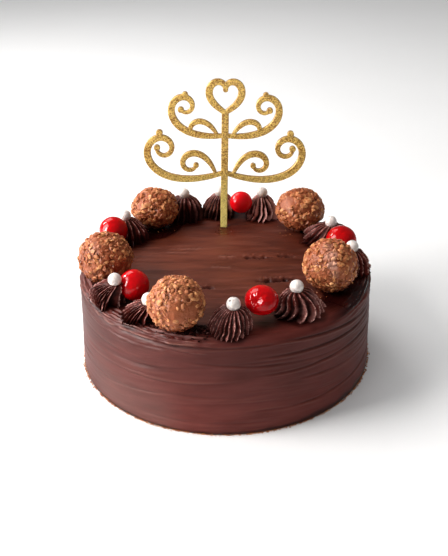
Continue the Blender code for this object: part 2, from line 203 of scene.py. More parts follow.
def add_piece(name, points, faces, material, attributes=None, crease_angle=None):
    """A mesh from points in millimetres. Attributes are numbers for each point."""
    mesh = bpy.data.meshes.new(name)
    mesh.from_pydata((points * MM).tolist(), [], faces)
    mesh.validate()
    for label, values in (attributes or {}).items():
        layer = mesh.attributes.new(label, "FLOAT", "POINT")
        layer.data.foreach_set("value", np.asarray(values, np.float32))
    mesh.shade_smooth()
    if crease_angle is not None:
        mesh.set_sharp_from_angle(angle=math.radians(crease_angle))
    mesh.materials.append(material)
    obj = bpy.data.objects.new(name, mesh)
    bpy.context.scene.collection.objects.link(obj)
    return obj


def settle(piece, node=None):
    """Gives a finished piece its body, and hides the solid that it stands for."""
    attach(piece, "root")
    if node is not None:
        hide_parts(node)


class Gathered:
    """Several closed shapes that become one piece, with attributes for each point."""

    def __init__(self):
        self.points = []
        self.faces = []
        self.values = {}
        self.count = 0

    def add(self, points, faces, **values):
        self.points.append(points)
        self.faces += [tuple(index + self.count for index in face) for face in faces]
        self.count += len(points)
        for label, value in values.items():
            self.values.setdefault(label, []).append(np.broadcast_to(value, len(points)))

    def make(self, name, material, crease_angle=None):
        values = {label: np.concatenate(parts) for label, parts in self.values.items()}
        return add_piece(name, np.concatenate(self.points), self.faces, material, values, crease_angle)


def ball_of_triangles(halvings):
    """Points and triangles of a unit sphere made from an icosahedron."""
    golden = (1.0 + math.sqrt(5.0)) / 2.0
    points = []
    for a, b in itertools.product((-1.0, 1.0), (-golden, golden)):
        points += [(0.0, a, b), (a, b, 0.0), (b, 0.0, a)]
    points = [unit(point) for point in points]
    edge = min(np.linalg.norm(points[0] - other) for other in points[1:]) * 1.01
    faces = []
    for trio in itertools.combinations(range(len(points)), 3):
        a, b, c = (points[index] for index in trio)
        if max(np.linalg.norm(a - b), np.linalg.norm(b - c), np.linalg.norm(c - a)) < edge:
            outward = np.dot(np.cross(b - a, c - a), a) > 0.0
            faces.append(trio if outward else trio[::-1])
    for _ in range(halvings):
        middles = {}

        def middle(a, b):
            key = (min(a, b), max(a, b))
            if key not in middles:
                middles[key] = len(points)
                points.append(unit(points[a] + points[b]))
            return middles[key]

        finer = []
        for a, b, c in faces:
            ab, bc, ca = middle(a, b), middle(b, c), middle(c, a)
            finer += [(a, ab, ca), (b, bc, ab), (c, ca, bc), (ab, bc, ca)]
        faces = finer
    return np.array(points), faces


def sphere_grid(levels, segments):
    """Directions of a sphere with its two poles last, their polar angles and turns, and its faces."""
    polar = math.pi * (1.0 - np.arange(1, levels) / levels)
    turn = 2.0 * math.pi * np.arange(segments) / segments
    polar, turn = (grid.ravel() for grid in np.meshgrid(polar, turn, indexing="ij"))
    polar = np.append(polar, [math.pi, 0.0])
    turn = np.append(turn, [0.0, 0.0])
    directions = place_at(np.sin(polar), turn, np.cos(polar))
    return directions, polar, turn, capped_ring_faces(levels - 1, segments)


# Materials

# Sockets of the Mix node for each kind of value: the first value, the second and the result
MIX_SOCKETS = {"RGBA": (6, 7, 2), "FLOAT": (2, 3, 0)}


class Surface:
    """One material with a Principled shader, and short ways to add nodes to it."""

    def __init__(self, name, **values):
        self.material = bpy.data.materials.new(name)
        self.material.use_nodes = True
        self.tree = self.material.node_tree
        self.shader = self.tree.nodes["Principled BSDF"]
        self.put(**values)

    def put(self, **values):
        """Links sockets to inputs of the shader, or sets plain values there."""
        for label, value in values.items():
            self.connect(self.shader.inputs[label.replace("_", " ")], value)

    def connect(self, target, value):
        """Links a socket to an input or sets a plain value; a colour of three numbers is opaque."""
        if isinstance(value, bpy.types.NodeSocket):
            self.tree.links.new(value, target)
        elif isinstance(value, tuple) and len(value) + 1 == len(target.default_value):
            target.default_value = (*value, 1.0)
        else:
            target.default_value = value

    def node(self, kind, inputs=None, **settings):
        node = self.tree.nodes.new(kind)
        for name, value in settings.items():
            setattr(node, name, value)
        for socket, value in (inputs or {}).items():
            self.connect(node.inputs[socket], value)
        return node

    def coordinates(self, kind):
        return self.node("ShaderNodeTexCoord").outputs[kind]

    def axes(self, vector):
        return self.node("ShaderNodeSeparateXYZ", {"Vector": vector}).outputs

    def place(self, *sizes):
        """Object coordinates counted in cells of one size, or of one for each axis, in millimetres."""
        scale = tuple(1.0 / (size * MM) for size in sizes * (3 // len(sizes)))
        inputs = {"Vector": self.coordinates("Object"), "Scale": scale}
        return self.node("ShaderNodeMapping", inputs).outputs["Vector"]

    def banded(self, around, across):
        """Coordinates in cells that are long round the cake and short across its bands."""
        parts = self.axes(self.place(around))
        level = self.maths("DIVIDE", self.attribute("band"), across)
        return self.node("ShaderNodeCombineXYZ", {0: parts["X"], 1: parts["Y"], 2: level}).outputs["Vector"]

    def noise(self, where, detail=3.0, roughness=0.5):
        """Noise over a vector, or over cells of one size in millimetres."""
        vector = self.place(where) if isinstance(where, float) else where
        inputs = {"Vector": vector, "Scale": 1.0, "Detail": detail, "Roughness": roughness}
        return self.node("ShaderNodeTexNoise", inputs).outputs["Fac"]

    def cells(self, size):
        """Three random numbers for each cell of a size, as a colour."""
        return self.node("ShaderNodeTexVoronoi", {"Vector": self.place(size), "Scale": 1.0}).outputs["Color"]

    def attribute(self, name):
        return self.node("ShaderNodeAttribute", attribute_name=name).outputs["Fac"]

    def spread(self, value, low, high, to_low=0.0, to_high=1.0):
        inputs = {"Value": value, "From Min": low, "From Max": high, "To Min": to_low, "To Max": to_high}
        return self.node("ShaderNodeMapRange", inputs).outputs["Result"]

    def mix(self, share, first, second, kind="RGBA"):
        """A colour between two others."""
        first_socket, second_socket, result = MIX_SOCKETS[kind]
        inputs = {"Factor": share, first_socket: first, second_socket: second}
        return self.node("ShaderNodeMix", inputs, data_type=kind).outputs[result]

    def blend(self, share, first, second):
        """A number between two others."""
        return self.mix(share, first, second, "FLOAT")

    def mottled(self, clouds, first, second, half=0.2):
        """Two colours that change over where the clouds are within half of 0.5."""
        return self.mix(self.spread(clouds, 0.5 - half, 0.5 + half), first, second)

    def maths(self, operation, first, second=0.0):
        return self.node("ShaderNodeMath", {0: first, 1: second}, operation=operation).outputs[0]

    def bump(self, height, depth, strength=1.0, under=None):
        inputs = {"Height": height, "Distance": depth * MM, "Strength": strength}
        if under is not None:
            inputs["Normal"] = under
        return self.node("ShaderNodeBump", inputs).outputs["Normal"]


# Marks of the spatula: where in the noise they start and are full, their largest share on the
# side and on the top, and their colour
GANACHE_MARKS = [
    (0.55, 0.72, 0.16, 0.26, (0.215, 0.062, 0.038)),
    (0.45, 0.30, 0.15, 0.32, (0.043, 0.007, 0.003)),
]
# Painted shade, shadows, highlights and sheen that lie over the marks: attribute, largest share and colour
GANACHE_OVERLAYS = [
    ("smeared", 0.92, (0.013, 0.001, 0.001)),
    ("hollow", 0.80, (0.030, 0.005, 0.002)),
    # Painted highlight on the crests of the side's streaks
    ("high", 0.40, (0.230, 0.085, 0.062)),
    ("pressed", 0.92, (0.015, 0.002, 0.001)),
    ("raised", 0.60, (0.290, 0.120, 0.090)),
]
# Colour of the painted greyish sheen at the foot of the side
PAINTED_SHEEN_COLOUR = (0.100, 0.090, 0.078)


def ganache_surface():
    """Satin ganache; the marks run round the side and straight across the top."""
    surface = Surface("ganache_satin", Specular_IOR_Level=0.18)
    inner = surface.attribute("inner_top")
    patches = surface.spread(surface.noise(surface.banded(20.0, 11.0), 2.0), 0.40, 0.60, 0.25, 1.0)
    side_marks = surface.blend(patches, 0.5, surface.noise(surface.banded(24.0, 1.0), 4.0, 0.6))
    marks = surface.blend(inner, side_marks, surface.noise(surface.place(22.0, 2.9, 30.0), 2.6, 0.45))
    top_clouds = surface.noise(surface.place(30.0, 9.0, 40.0))
    clouds = surface.blend(inner, surface.noise(surface.banded(26.0, 6.0)), top_clouds)
    side = surface.mottled(clouds, (0.080, 0.012, 0.008), (0.126, 0.025, 0.019))
    # The middle of the top gets a lighter colour as a painted sheen, its outer part a darker one
    centre = surface.mottled(clouds, (0.082, 0.015, 0.006), (0.146, 0.033, 0.016), 0.16)
    outer = surface.mottled(clouds, (0.044, 0.007, 0.003), (0.078, 0.013, 0.005), 0.16)
    colour = surface.mix(inner, side, surface.mix(surface.attribute("centre"), outer, centre))
    for start, full, on_side, on_top, tint in GANACHE_MARKS:
        largest = surface.blend(inner, on_side, on_top)
        share = surface.maths("MULTIPLY", surface.spread(marks, start, full), largest)
        colour = surface.mix(share, colour, tint)
    for label, largest, tint in GANACHE_OVERLAYS:
        share = surface.maths("MULTIPLY", surface.attribute(label), largest)
        colour = surface.mix(share, colour, tint)
    # The tone attribute paints light into the side's colour: lighter toward the foot, darker at the left
    inputs = {0: colour, "Scale": surface.attribute("tone")}
    toned = surface.node("ShaderNodeVectorMath", inputs, operation="SCALE").outputs["Vector"]
    dark = surface.maths("MAXIMUM", surface.attribute("smeared"), surface.attribute("pressed"))
    rough = surface.blend(dark, surface.spread(marks, 0.3, 0.7, 0.42, 0.58), 0.27)
    grain = surface.bump(surface.noise(0.7, 2.0), 0.05, 0.25)
    surface.put(
        Base_Color=surface.mix(surface.attribute("greyed"), toned, PAINTED_SHEEN_COLOUR),
        Roughness=surface.blend(surface.attribute("polish"), rough, 0.16),
        Normal=surface.bump(marks, 0.4, 0.6, grain),
    )
    return surface.material


def cream_surface():
    """Dark piped cream with painted shade that is nearly black in its flutes, and a painted highlight along
    its crests.
    """
    surface = Surface("piped_cream", Specular_IOR_Level=0.1, Specular_Tint=(1.0, 0.62, 0.58, 1.0))
    crest = surface.attribute("crest")
    clouds = surface.noise(2.4)
    # Painted shade makes the flutes nearly black; a painted highlight lightens the crests
    deep = surface.mix(clouds, (0.007, 0.001, 0.001), (0.018, 0.003, 0.002))
    flank = surface.mottled(clouds, (0.038, 0.004, 0.003), (0.128, 0.020, 0.015))
    # The pale attribute lightens the flanks with a painted sheen
    flank = surface.mix(surface.attribute("pale"), flank, (0.520, 0.250, 0.220))
    edge = surface.mottled(clouds, (0.360, 0.125, 0.105), (0.860, 0.500, 0.430))
    colour = surface.mix(surface.spread(crest, 0.10, 0.50), deep, flank)
    flecks = surface.spread(surface.noise(0.8, 2.0), 0.42, 0.60, 0.12, 1.0)
    painted_crest_highlight = surface.maths("MULTIPLY", surface.spread(crest, 0.70, 0.96), flecks)
    surface.put(
        Base_Color=surface.mix(painted_crest_highlight, colour, edge),
        Roughness=surface.spread(clouds, 0.3, 0.7, 0.26, 0.44),
        Normal=surface.bump(surface.noise(0.6), 0.20, 0.7),
    )
    return surface.material


def nut_surface():
    """Milk chocolate over chopped nuts; each chip has its own share of bare nut."""
    surface = Surface("nut_crust", Specular_IOR_Level=0.16)
    clouds = surface.noise(2.2)
    pimples = surface.noise(0.8)
    coat = surface.mottled(clouds, (0.228, 0.048, 0.015), (0.362, 0.099, 0.038))
    coat = surface.mix(surface.attribute("tone"), coat, (0.510, 0.182, 0.086))
    # The deep attribute darkens the coat: painted shade low between the crust's lumps and on the balls'
    # undersides, and a random darker tone on the crumbs at the foot
    coat = surface.mix(surface.attribute("deep"), coat, (0.150, 0.030, 0.008))
    nut = surface.mottled(clouds, (0.422, 0.134, 0.038), (0.820, 0.400, 0.165))
    bare = surface.maths("MULTIPLY", surface.attribute("bare"), surface.spread(clouds, 0.25, 0.55, 0.5, 1.0))
    patchy = surface.spread(pimples, 0.2, 0.6, 0.4, 1.0)
    frost = surface.maths("MULTIPLY", surface.attribute("bloom"), patchy)
    surface.put(
        Base_Color=surface.mix(frost, surface.mix(bare, coat, nut), (0.760, 0.460, 0.360)),
        Roughness=surface.spread(clouds, 0.3, 0.7, 0.28, 0.50),
        Normal=surface.bump(pimples, 0.25, 0.7),
    )
    return surface.material


def cherry_surface():
    """Glazed cherry skin, painted lighter by its tone; on cherry_5 this is painted light."""
    surface = Surface(
        "cherry_glaze", Specular_IOR_Level=0.03, Coat_Weight=0.5, Coat_Roughness=0.04,
        Subsurface_Weight=0.2, Subsurface_Radius=(1.0, 0.15, 0.08), Subsurface_Scale=1.6 * MM,
    )
    clouds = surface.noise(4.0)
    skin = surface.mottled(clouds, (0.290, 0.0003, 0.0010), (0.480, 0.0006, 0.0020))
    surface.put(
        Base_Color=surface.mix(surface.attribute("tone"), skin, (0.850, 0.0040, 0.0100)),
        Roughness=surface.spread(clouds, 0.3, 0.7, 0.16, 0.26),
        Normal=surface.bump(surface.noise(1.6), 0.10, 0.35),
    )
    return surface.material


def pearl_surface():
    """Sugar pearl with a soft sheen; its pit is dark."""
    surface = Surface(
        "sugar_pearl", Specular_IOR_Level=0.5, Coat_Weight=0.2, Coat_Roughness=0.2,
        Subsurface_Weight=0.1, Subsurface_Radius=(1.0, 0.8, 0.6), Subsurface_Scale=0.8 * MM,
    )
    clouds = surface.noise(1.4)
    colour = surface.mottled(clouds, (0.660, 0.570, 0.520), (0.820, 0.740, 0.700))
    surface.put(
        Base_Color=surface.mix(surface.attribute("pit"), colour, (0.020, 0.010, 0.006)),
        Roughness=surface.spread(clouds, 0.3, 0.7, 0.30, 0.44),
        Normal=surface.bump(clouds, 0.08, 0.4),
    )
    return surface.material


def gold_surface():
    """Gold glitter: each flake has its own tint, tilt and polish. The cut edges are plain."""
    surface = Surface("gold_glitter", Metallic=0.2, Specular_IOR_Level=0.5)
    flake = surface.node("ShaderNodeSeparateColor", {"Color": surface.cells(0.6)}).outputs
    tint = surface.mix(surface.spread(flake[0], 0.1, 0.8), (0.300, 0.115, 0.004), (0.880, 0.600, 0.140))
    # Painted light: the tint grows lighter and yellower toward the stick's foot
    painted_light_near_foot = surface.spread(surface.axes(surface.place(1.0))["Z"], 62.0, 92.0, 1.0, 0.0)
    tint = surface.mix(painted_light_near_foot, tint, (1.000, 0.860, 0.240))
    facing = surface.maths("ABSOLUTE", surface.axes(surface.coordinates("Normal"))["Y"])
    surface.put(
        Base_Color=surface.mix(surface.spread(facing, 0.4, 0.8), (0.330, 0.160, 0.022), tint),
        Roughness=surface.spread(flake[1], 0.0, 1.0, 0.2, 0.5),
        Normal=surface.bump(flake[2], 0.4, 0.9),
    )
    return surface.material


def floor_surface():
    """Pale ground, which catches the shadows."""
    surface = Surface("pale_floor", Roughness=0.6, Specular_IOR_Level=0.2)
    clouds = surface.noise(180.0)
    surface.put(Base_Color=surface.mix(clouds, (0.86, 0.855, 0.85), (0.90, 0.897, 0.893)))
    return surface.material


# Cake body


@dataclass
class Streak:
    """A long mark of the spatula round the side: a groove with a crest just below it."""

    height: float
    first: float
    last: float
    rise: float
    depth: float
    width: float


# A streak of negative depth is a crest with a groove below it.
SHOWN_STREAKS = [
    Streak(47.0, -74.0, -12.0, -4.5, 0.50, 0.60),
    Streak(50.2, -122.0, -64.0, 0.4, 0.42, 0.50),
    Streak(41.6, -84.0, -4.0, -2.6, 0.55, 0.62),
    Streak(40.3, -108.0, -66.0, -1.4, 0.30, 0.60),
    Streak(32.5, -84.0, -6.0, -2.5, 0.46, 0.62),
    Streak(28.5, -52.0, -4.0, -3.4, -0.24, 0.7),
    Streak(24.0, -66.0, -8.0, -4.0, 0.42, 0.60),
    Streak(12.0, -78.0, -4.0, -0.6, 0.34, 0.60),
    Streak(28.8, -166.0, -78.0, 4.2, -0.42, 0.6),
    Streak(33.5, -160.0, -104.0, 2.0, 0.26, 1.3),
    Streak(38.5, -170.0, -112.0, -1.0, -0.22, 0.8),
    Streak(18.5, -186.0, -146.0, 2.0, 0.40, 0.8),
    Streak(14.5, -182.0, -150.0, 1.5, 0.34, 0.7),
    Streak(22.5, -120.0, -72.0, 1.5, 0.20, 0.8),
    Streak(6.5, -128.0, -70.0, -0.5, 0.22, 0.7),
]
SEEDED_STREAKS = 64
# The streaks are deeper round one bearing: share added, bearing and half width
DEEPER_STREAKS = (0.40, math.radians(-26.0), math.radians(34.0))

# The bands of the side rise by this much toward one bearing, as a wave of this half width
ARCH_RISE = 11.0
ARCH_BEARING = math.radians(-82.0)
ARCH_HALF_WIDTH = math.radians(48.0)
# A streak's crest: how far below its groove, in widths, and how strong beside it
STREAK_CREST = (1.7, 0.60)


def band_arch(angle):
    """How far the spatula's bands have risen at a bearing."""
    return ARCH_RISE * bell(turn_apart(angle, ARCH_BEARING) / ARCH_HALF_WIDTH)


def seeded_streaks():
    """Marks over the rest of the side, drawn at random."""
    draw = np.random.default_rng(7)
    streaks = []
    for _ in range(SEEDED_STREAKS):
        first = draw.uniform(-180.0, 180.0)
        last = first + draw.uniform(14.0, 60.0)
        width = draw.uniform(0.35, 0.70)
        depth = draw.uniform(0.06, 0.26) * draw.choice([-1.0, 1.0, 1.0])
        streaks.append(Streak(draw.uniform(-8.0, 50.0), first, last, draw.uniform(-1.5, 1.5), depth, width))
    return streaks


def streak_relief(angle, height):
    """Relief of all the streaks on the side; the seeded ones follow the arch of the bands."""
    relief = np.zeros_like(angle)
    band = height - band_arch(angle)
    below, crest_strength = STREAK_CREST
    shown = [(streak, height) for streak in SHOWN_STREAKS]
    for streak, level in shown + [(streak, band) for streak in seeded_streaks()]:
        middle = math.radians(0.5 * (streak.first + streak.last))
        half = math.radians(0.5 * (streak.last - streak.first))
        away = turn_apart(angle, middle)
        line = streak.height + streak.rise * away / half + 0.5 * np.sin(5.0 * away + streak.height)
        fade = 1.0 - smooth_step(0.55, 1.0, np.abs(away) / half)
        across = (level - line) / streak.width
        strength = 0.75 + 0.45 * noise_over(15, 3.2 * away, streak.height)
        relief += streak.depth * strength * fade * (crest_strength * bell(across + below) - bell(across))
    added, bearing, half_width = DEEPER_STREAKS
    return relief * (1.0 + added * bell(turn_apart(angle, bearing) / half_width))


@dataclass
class Tear:
    """A short mark of the spatula in the top, along X.

    It is a tear darkened with painted shade, or, where its depth is negative, a ridge lightened with a
    painted sheen."""

    x: float
    y: float
    length: float
    width: float
    depth: float


TEARS = [
    Tear(17.2, 8.7, 15.0, 2.4, 1.9),
    Tear(25.5, 8.0, 6.0, 1.4, 0.7),
    Tear(35.0, 9.5, 11.0, 1.9, 1.4),
    Tear(26.0, -20.4, 20.0, 2.9, 1.7),
    Tear(34.5, -18.4, 9.0, 2.0, 1.4),
    Tear(-9.8, -27.2, 10.0, 2.0, 1.5),
    Tear(-22.8, 19.9, 24.0, 2.6, -0.3),
    Tear(-27.3, 16.0, 15.0, 2.0, -0.25),
    Tear(1.7, 9.0, 12.0, 2.6, -0.4),
    Tear(-1.8, -3.2, 13.0, 2.4, -0.4),
]

# Ragged stretches of the rim: bearing of the middle and half span in degrees, and strength
LIP_STRETCHES = [(-141.0, 52.0, 1.0), (-16.0, 25.0, 0.75)]


def cake_profile():
    """Radius, height, outward direction and distance along the skin, from foot to middle."""
    rows = [(FOOT_RADIUS, 0.0, 1.0, 0.0)]
    for level in range(SIDE_LEVELS + 1):
        share = level / SIDE_LEVELS
        height = FOOT_BAND + (RIM_START - FOOT_BAND) * share
        rows.append((FOOT_RADIUS + (SIDE_TOP_RADIUS - FOOT_RADIUS) * share, height, 1.0, 0.0))
    for level in range(1, RIM_LEVELS + 1):
        turn = 0.5 * math.pi * level / RIM_LEVELS
        out, up = math.cos(turn), math.sin(turn)
        rows.append((FLAT_RADIUS + RIM_ROUNDING * out, RIM_START + RIM_ROUNDING * up, out, up))
    for radius in FLAT_RADIUS - TOP_OUTER_WIDTH * np.arange(1, TOP_OUTER_LEVELS + 1) / TOP_OUTER_LEVELS:
        rows.append((radius, CAKE_HEIGHT, 0.0, 1.0))
    rows = np.array(rows)
    steps = np.hypot(np.diff(rows[:, 0]), np.diff(rows[:, 1]))
    return np.column_stack([rows, np.concatenate([[0.0], np.cumsum(steps)])])


def top_points(radius):
    """Points within a circle, close together across the marks of the top and wider apart along them."""
    rows = []
    for row, y in enumerate(np.arange(-radius + TOP_STEP_ACROSS, radius, TOP_STEP_ACROSS)):
        half = math.sqrt(radius * radius - y * y) - 0.5 * TOP_STEP_ACROSS
        shift = 0.5 * (row % 2)
        count = math.floor(half / TOP_STEP_ALONG)
        x = TOP_STEP_ALONG * (np.arange(-count, count + 1) + shift)
        x = x[np.abs(x) < half]
        rows.append(np.column_stack([x, np.full(len(x), y)]))
    return np.vstack(rows)


def top_triangles(ring, inner, first):
    """Triangles between a ring of points and the points within it.

    The ring's points come first, and the whole cake has first points before them."""
    count = len(ring)
    edges = [(index, (index + 1) % count) for index in range(count)]
    flat = [Vector(point) for point in np.vstack([ring, inner])]
    _, _, faces, origins, _, _ = delaunay_2d_cdt(flat, edges, [], 0, 1e-6, True)
    return [[first + origins[corner][0] for corner in face] for face in faces]


# Layers of the marks: strength, size along the marks and across them, and seed
ROUND_MARKS = [(0.24, 30.0, 6.5, 11), (0.10, 22.0, 2.2, 12), (0.05, 11.0, 1.0, 13)]
STRAIGHT_MARKS = [(0.16, 40.0, 6.0, 22), (0.10, 20.0, 2.6, 23), (0.05, 9.0, 1.3, 24)]


def round_relief(x, y, angle, along):
    """Relief of the side and rim, whose marks run round the cake."""
    waved = along - band_arch(angle) + 1.8 * noise_over(3, x / 42.0, y / 42.0, along / 25.0)
    relief = np.zeros_like(x)
    for strength, size, width, seed in ROUND_MARKS:
        relief += strength * noise_over(seed, x / size, y / size, waved / width)
    return relief


def straight_relief(x, y):
    """Relief of the top's middle, whose marks run left to right."""
    waved = y + 1.6 * noise_over(21, x / 30.0, y / 22.0)
    relief = np.zeros_like(x)
    for strength, size, width, seed in STRAIGHT_MARKS:
        relief += strength * noise_over(seed, x / size, waved / width)
    return relief


def tear_depth(x, y):
    """Depth of the marks in the top, and each point's share: 1 in a tear, which gets painted shade, -1 on a
    ridge, which gets a painted sheen.
    """
    depth = np.zeros_like(x)
    share = np.zeros_like(x)
    wander = 0.45 * noise_over(31, x / 1.8)
    ragged = 0.80 + 0.55 * noise_over(32, x / 1.4, y / 3.0)
    for tear in TEARS:
        run = (x - tear.x) / (0.5 * tear.length)
        bend = 0.5 * np.sin(1.3 * run + tear.x) + wander
        across = (y - tear.y - bend) / (0.5 * tear.width * ragged)
        fade = 1.0 - smooth_step(0.6, 1.0, np.abs(run))
        inside = np.exp(-(across**4)) * fade
        lip = bell(across - 2.2) * fade
        depth += tear.depth * (inside - 0.3 * lip)
        share += np.sign(tear.depth) * inside
    return depth, np.clip(share, -1.0, 1.0)


# Broken ridges along the ragged stretch of the rim: place across it (inward is positive),
# height and half width
LIP_RIDGES = [
    (-7.4, 0.35, 0.6),
    (-5.0, 0.50, 0.5),
    (-1.7, 0.95, 0.6),
    (0.2, 0.75, 0.45),
    (1.7, 0.70, 0.4),
    (3.3, 0.60, 0.45),
    (5.0, 0.45, 0.45),
]
# The groove below them wanders as the ridge of this number does
LIP_GROOVE = (-3.2, 0.55, 0.45)
LIP_GROOVE_NUMBER = 2
# Where flakes stand on the rim, across it
LIP_ZONE = (-1.5, 1.5, 5.5, 9.0)


def lip_line(run, along, place, half_width, number):
    """Distance across the rim from a wandering line, in half widths."""
    wander = 0.9 * noise_over(41, run / 19.0, 0.0, 7.0 * number)
    return (along - RIM_MIDDLE - place - wander) / half_width


def lip_relief(angle, along):
    """The ragged lip along stretches of the rim: broken ridges, flakes and a groove below.

    Returns its relief, its share of painted shade between the ridges and in the groove, and its share of
    painted highlight on the ridges."""
    here = np.zeros_like(angle)
    for middle, half_span, strength in LIP_STRETCHES:
        away = turn_apart(angle, math.radians(middle))
        here += strength * (1.0 - smooth_step(0.72, 1.0, np.abs(away) / math.radians(half_span)))
    run = FOOT_RADIUS * angle
    relief = np.zeros_like(angle)
    raised = np.zeros_like(angle)
    teeth = noise_over(44, run / 1.6, along / 1.6)
    for number, (place, height, half_width) in enumerate(LIP_RIDGES):
        across = lip_line(run, along, place, half_width, number)
        broken = noise_over(42, run / 5.5, 0.0, 3.0 * number)
        ridge = np.clip(0.70 + 0.8 * broken + 0.45 * teeth, 0.0, 1.4) * bell(across)
        relief += height * ridge - 0.4 * height * bell(across + 2.1)
        raised = np.maximum(raised, ridge * height)
    place, depth, half_width = LIP_GROOVE
    cut = bell(lip_line(run, along, place, half_width, LIP_GROOVE_NUMBER))
    cut *= np.clip(0.25 + 1.1 * noise_over(45, run / 7.0, 0.0, 17.0), 0.0, 1.0)
    relief -= depth * cut
    across = along - RIM_MIDDLE
    flake = np.zeros_like(angle)
    for layer in range(3):
        finer = 2.0**layer
        flake += noise_over(43 + layer, run / 6.0 * finer, across * finer) / finer
    zone = plateau(LIP_ZONE, across)
    relief += zone * np.abs(flake)
    pressed = zone * smooth_step(0.35, 0.9, flake) * (1.0 - np.clip(2.0 * raised, 0.0, 1.0))
    return here * relief, here * np.maximum(pressed, 0.40 * cut), 0.75 * here * smooth_step(0.3, 0.9, raised)


# Painted shade in a band along the foot: its least and its greatest height, and where it grows
PAINTED_FOOT_SHADE_HEIGHTS = (1.9, 4.4)
PAINTED_FOOT_SHADE_BEARINGS = (-95.0, -30.0, 15.0, 60.0)


def painted_foot_shade_share(angle, height):
    """Painted shade in a band along the foot, which is tallest at the right."""
    growth = plateau(PAINTED_FOOT_SHADE_BEARINGS, np.degrees(turn_apart(angle, 0.0)))
    low, high = PAINTED_FOOT_SHADE_HEIGHTS
    edge = low + (high - low) * growth
    edge *= 1.0 + 0.35 * noise_over(46, FOOT_RADIUS * angle / 7.0, height / 3.0)
    return 1.0 - smooth_step(0.55, 1.05, height / edge)


# Painted light on the side: its tone at the foot and near the rim, and how much painted shade darkens it at
# the left.
# Turns go clockwise from the right, so 90 degrees is the front and 180 the left.
PAINTED_LIGHT_SIDE_TONES = (1.22, 0.80)
PAINTED_LIGHT_SIDE_HEIGHTS = (3.0, 46.0)
PAINTED_LEFT_SHADE = 0.35
PAINTED_LEFT_SHADE_TURNS = (120.0, 158.0, 190.0, 235.0)


def clockwise_turn(angle):
    return np.mod(-np.degrees(angle), 360.0)


def painted_light_side_tone(angle, height):
    """Painted light: the side is lighter toward the foot, and darker with painted shade at the left."""
    low, high = PAINTED_LIGHT_SIDE_TONES
    tone = low + (high - low) * smooth_step(*PAINTED_LIGHT_SIDE_HEIGHTS, height)
    return tone * (1.0 - PAINTED_LEFT_SHADE * plateau(PAINTED_LEFT_SHADE_TURNS, clockwise_turn(angle)))


# Where the side gets a painted greyish sheen: a share at the foot, fading upward and to both sides, with such
# turns
PAINTED_SHEEN_SHARE = 0.24
PAINTED_SHEEN_HEIGHTS = (8.0, 34.0)
PAINTED_SHEEN_TURNS = (102.0, 117.0, 136.0, 158.0)


def painted_sheen_share(angle, height):
    """A painted greyish sheen on the foot of the side at front left."""
    here = plateau(PAINTED_SHEEN_TURNS, clockwise_turn(angle))
    return PAINTED_SHEEN_SHARE * here * (1.0 - smooth_step(*PAINTED_SHEEN_HEIGHTS, height))


# Painted shadow bands on the top: where they start from the axis, then for each the bearing of its middle,
# its half width in degrees, and how far it comes in. They end between two bearings.
PAINTED_SHADOW_START = 70.0
PAINTED_SHADOW_BANDS = [(133.0, 26.0, 21.0), (8.0, 42.0, 17.0), (-24.0, 14.0, 6.0)]
PAINTED_SHADOW_END = (-52.0, -38.0)
# Painted shade in spots beside the toppings in front: x, y and radius
PAINTED_SHADE_SPOTS = [(22.0, -63.5, 5.5), (30.0, -58.5, 6.0), (1.0, -56.0, 5.0)]


def painted_shadow_round_rosettes(x, y):
    """Painted shadow on the top round the foot of each rosette, fading out over the width that the rosette
    gives it.
    """
    share = np.zeros_like(x)
    ragged = 1.2 * noise_over(33, x / 4.0, y / 4.0)
    for rosette in ROSETTES:
        foot = rosette_foot(rosette)
        gap = np.hypot(x - foot[0], y - foot[1]) - ROSETTE_FOOT_SHARE * rosette.radius + ragged
        share = np.maximum(share, 1.0 - smooth_step(0.0, rosette.smeared, gap))
    return share


def painted_shadow_band_share(x, y):
    """Painted shadow in bands between the lit middle of the top and the toppings, and painted shade in spots
    beside the toppings in front.
    """
    bearing = np.degrees(np.arctan2(y, x))
    start = np.full_like(x, PAINTED_SHADOW_START)
    for middle, half_width, inward in PAINTED_SHADOW_BANDS:
        start -= inward * bell((bearing - middle) / half_width)
    start += noise_over(35, x / 9.0, y / 5.0)
    share = smooth_step(0.0, 2.5, np.hypot(x, y) - start) * smooth_step(*PAINTED_SHADOW_END, bearing)
    wander = 1.5 * noise_over(36, x / 5.0, y / 5.0)
    for spot_x, spot_y, radius in PAINTED_SHADE_SPOTS:
        gap = np.hypot(x - spot_x, y - spot_y) - radius + wander
        share = np.maximum(share, 0.7 * (1.0 - smooth_step(-3.0, 3.0, gap)))
    return share


def cake_grid():
    """The skin without relief, in rows of points, and its faces but for the foot's.

    Each row holds angle, radius, height, outward and upward share, and distance along the skin."""
    profile = cake_profile()
    turns = 2.0 * math.pi * np.arange(CAKE_SEGMENTS) / CAKE_SEGMENTS
    skin = np.column_stack([np.tile(turns, len(profile)), np.repeat(profile, CAKE_SEGMENTS, axis=0)])
    edge, edge_along = profile[-1, 0], profile[-1, 4]
    disc = top_points(edge)
    reach = np.hypot(disc[:, 0], disc[:, 1])
    flat = np.zeros((len(disc), 6))
    flat[:, 0] = np.arctan2(disc[:, 1], disc[:, 0])
    flat[:, 1] = reach
    flat[:, 2] = CAKE_HEIGHT
    flat[:, 4] = 1.0
    flat[:, 5] = edge_along + edge - reach
    faces = ring_faces(len(profile), CAKE_SEGMENTS)
    ring = place_at(edge, turns, 0.0)[:, :2]
    faces += top_triangles(ring, disc, (len(profile) - 1) * CAKE_SEGMENTS)
    return np.vstack([skin, flat]), faces


# Radii between which the straight marks of the top's middle give way to the round ones
INNER_TOP = (62.0, 73.0)
INNER_TOP_LOWERING = 0.12
# Skin that points up by more than this is flat
FLAT_UP = 0.99
# Hole that the stick leaves: its reach in half sizes of the stick, and its depth
HOLE_REACH = (1.0, 1.9)
HOLE_DEPTH = 0.9
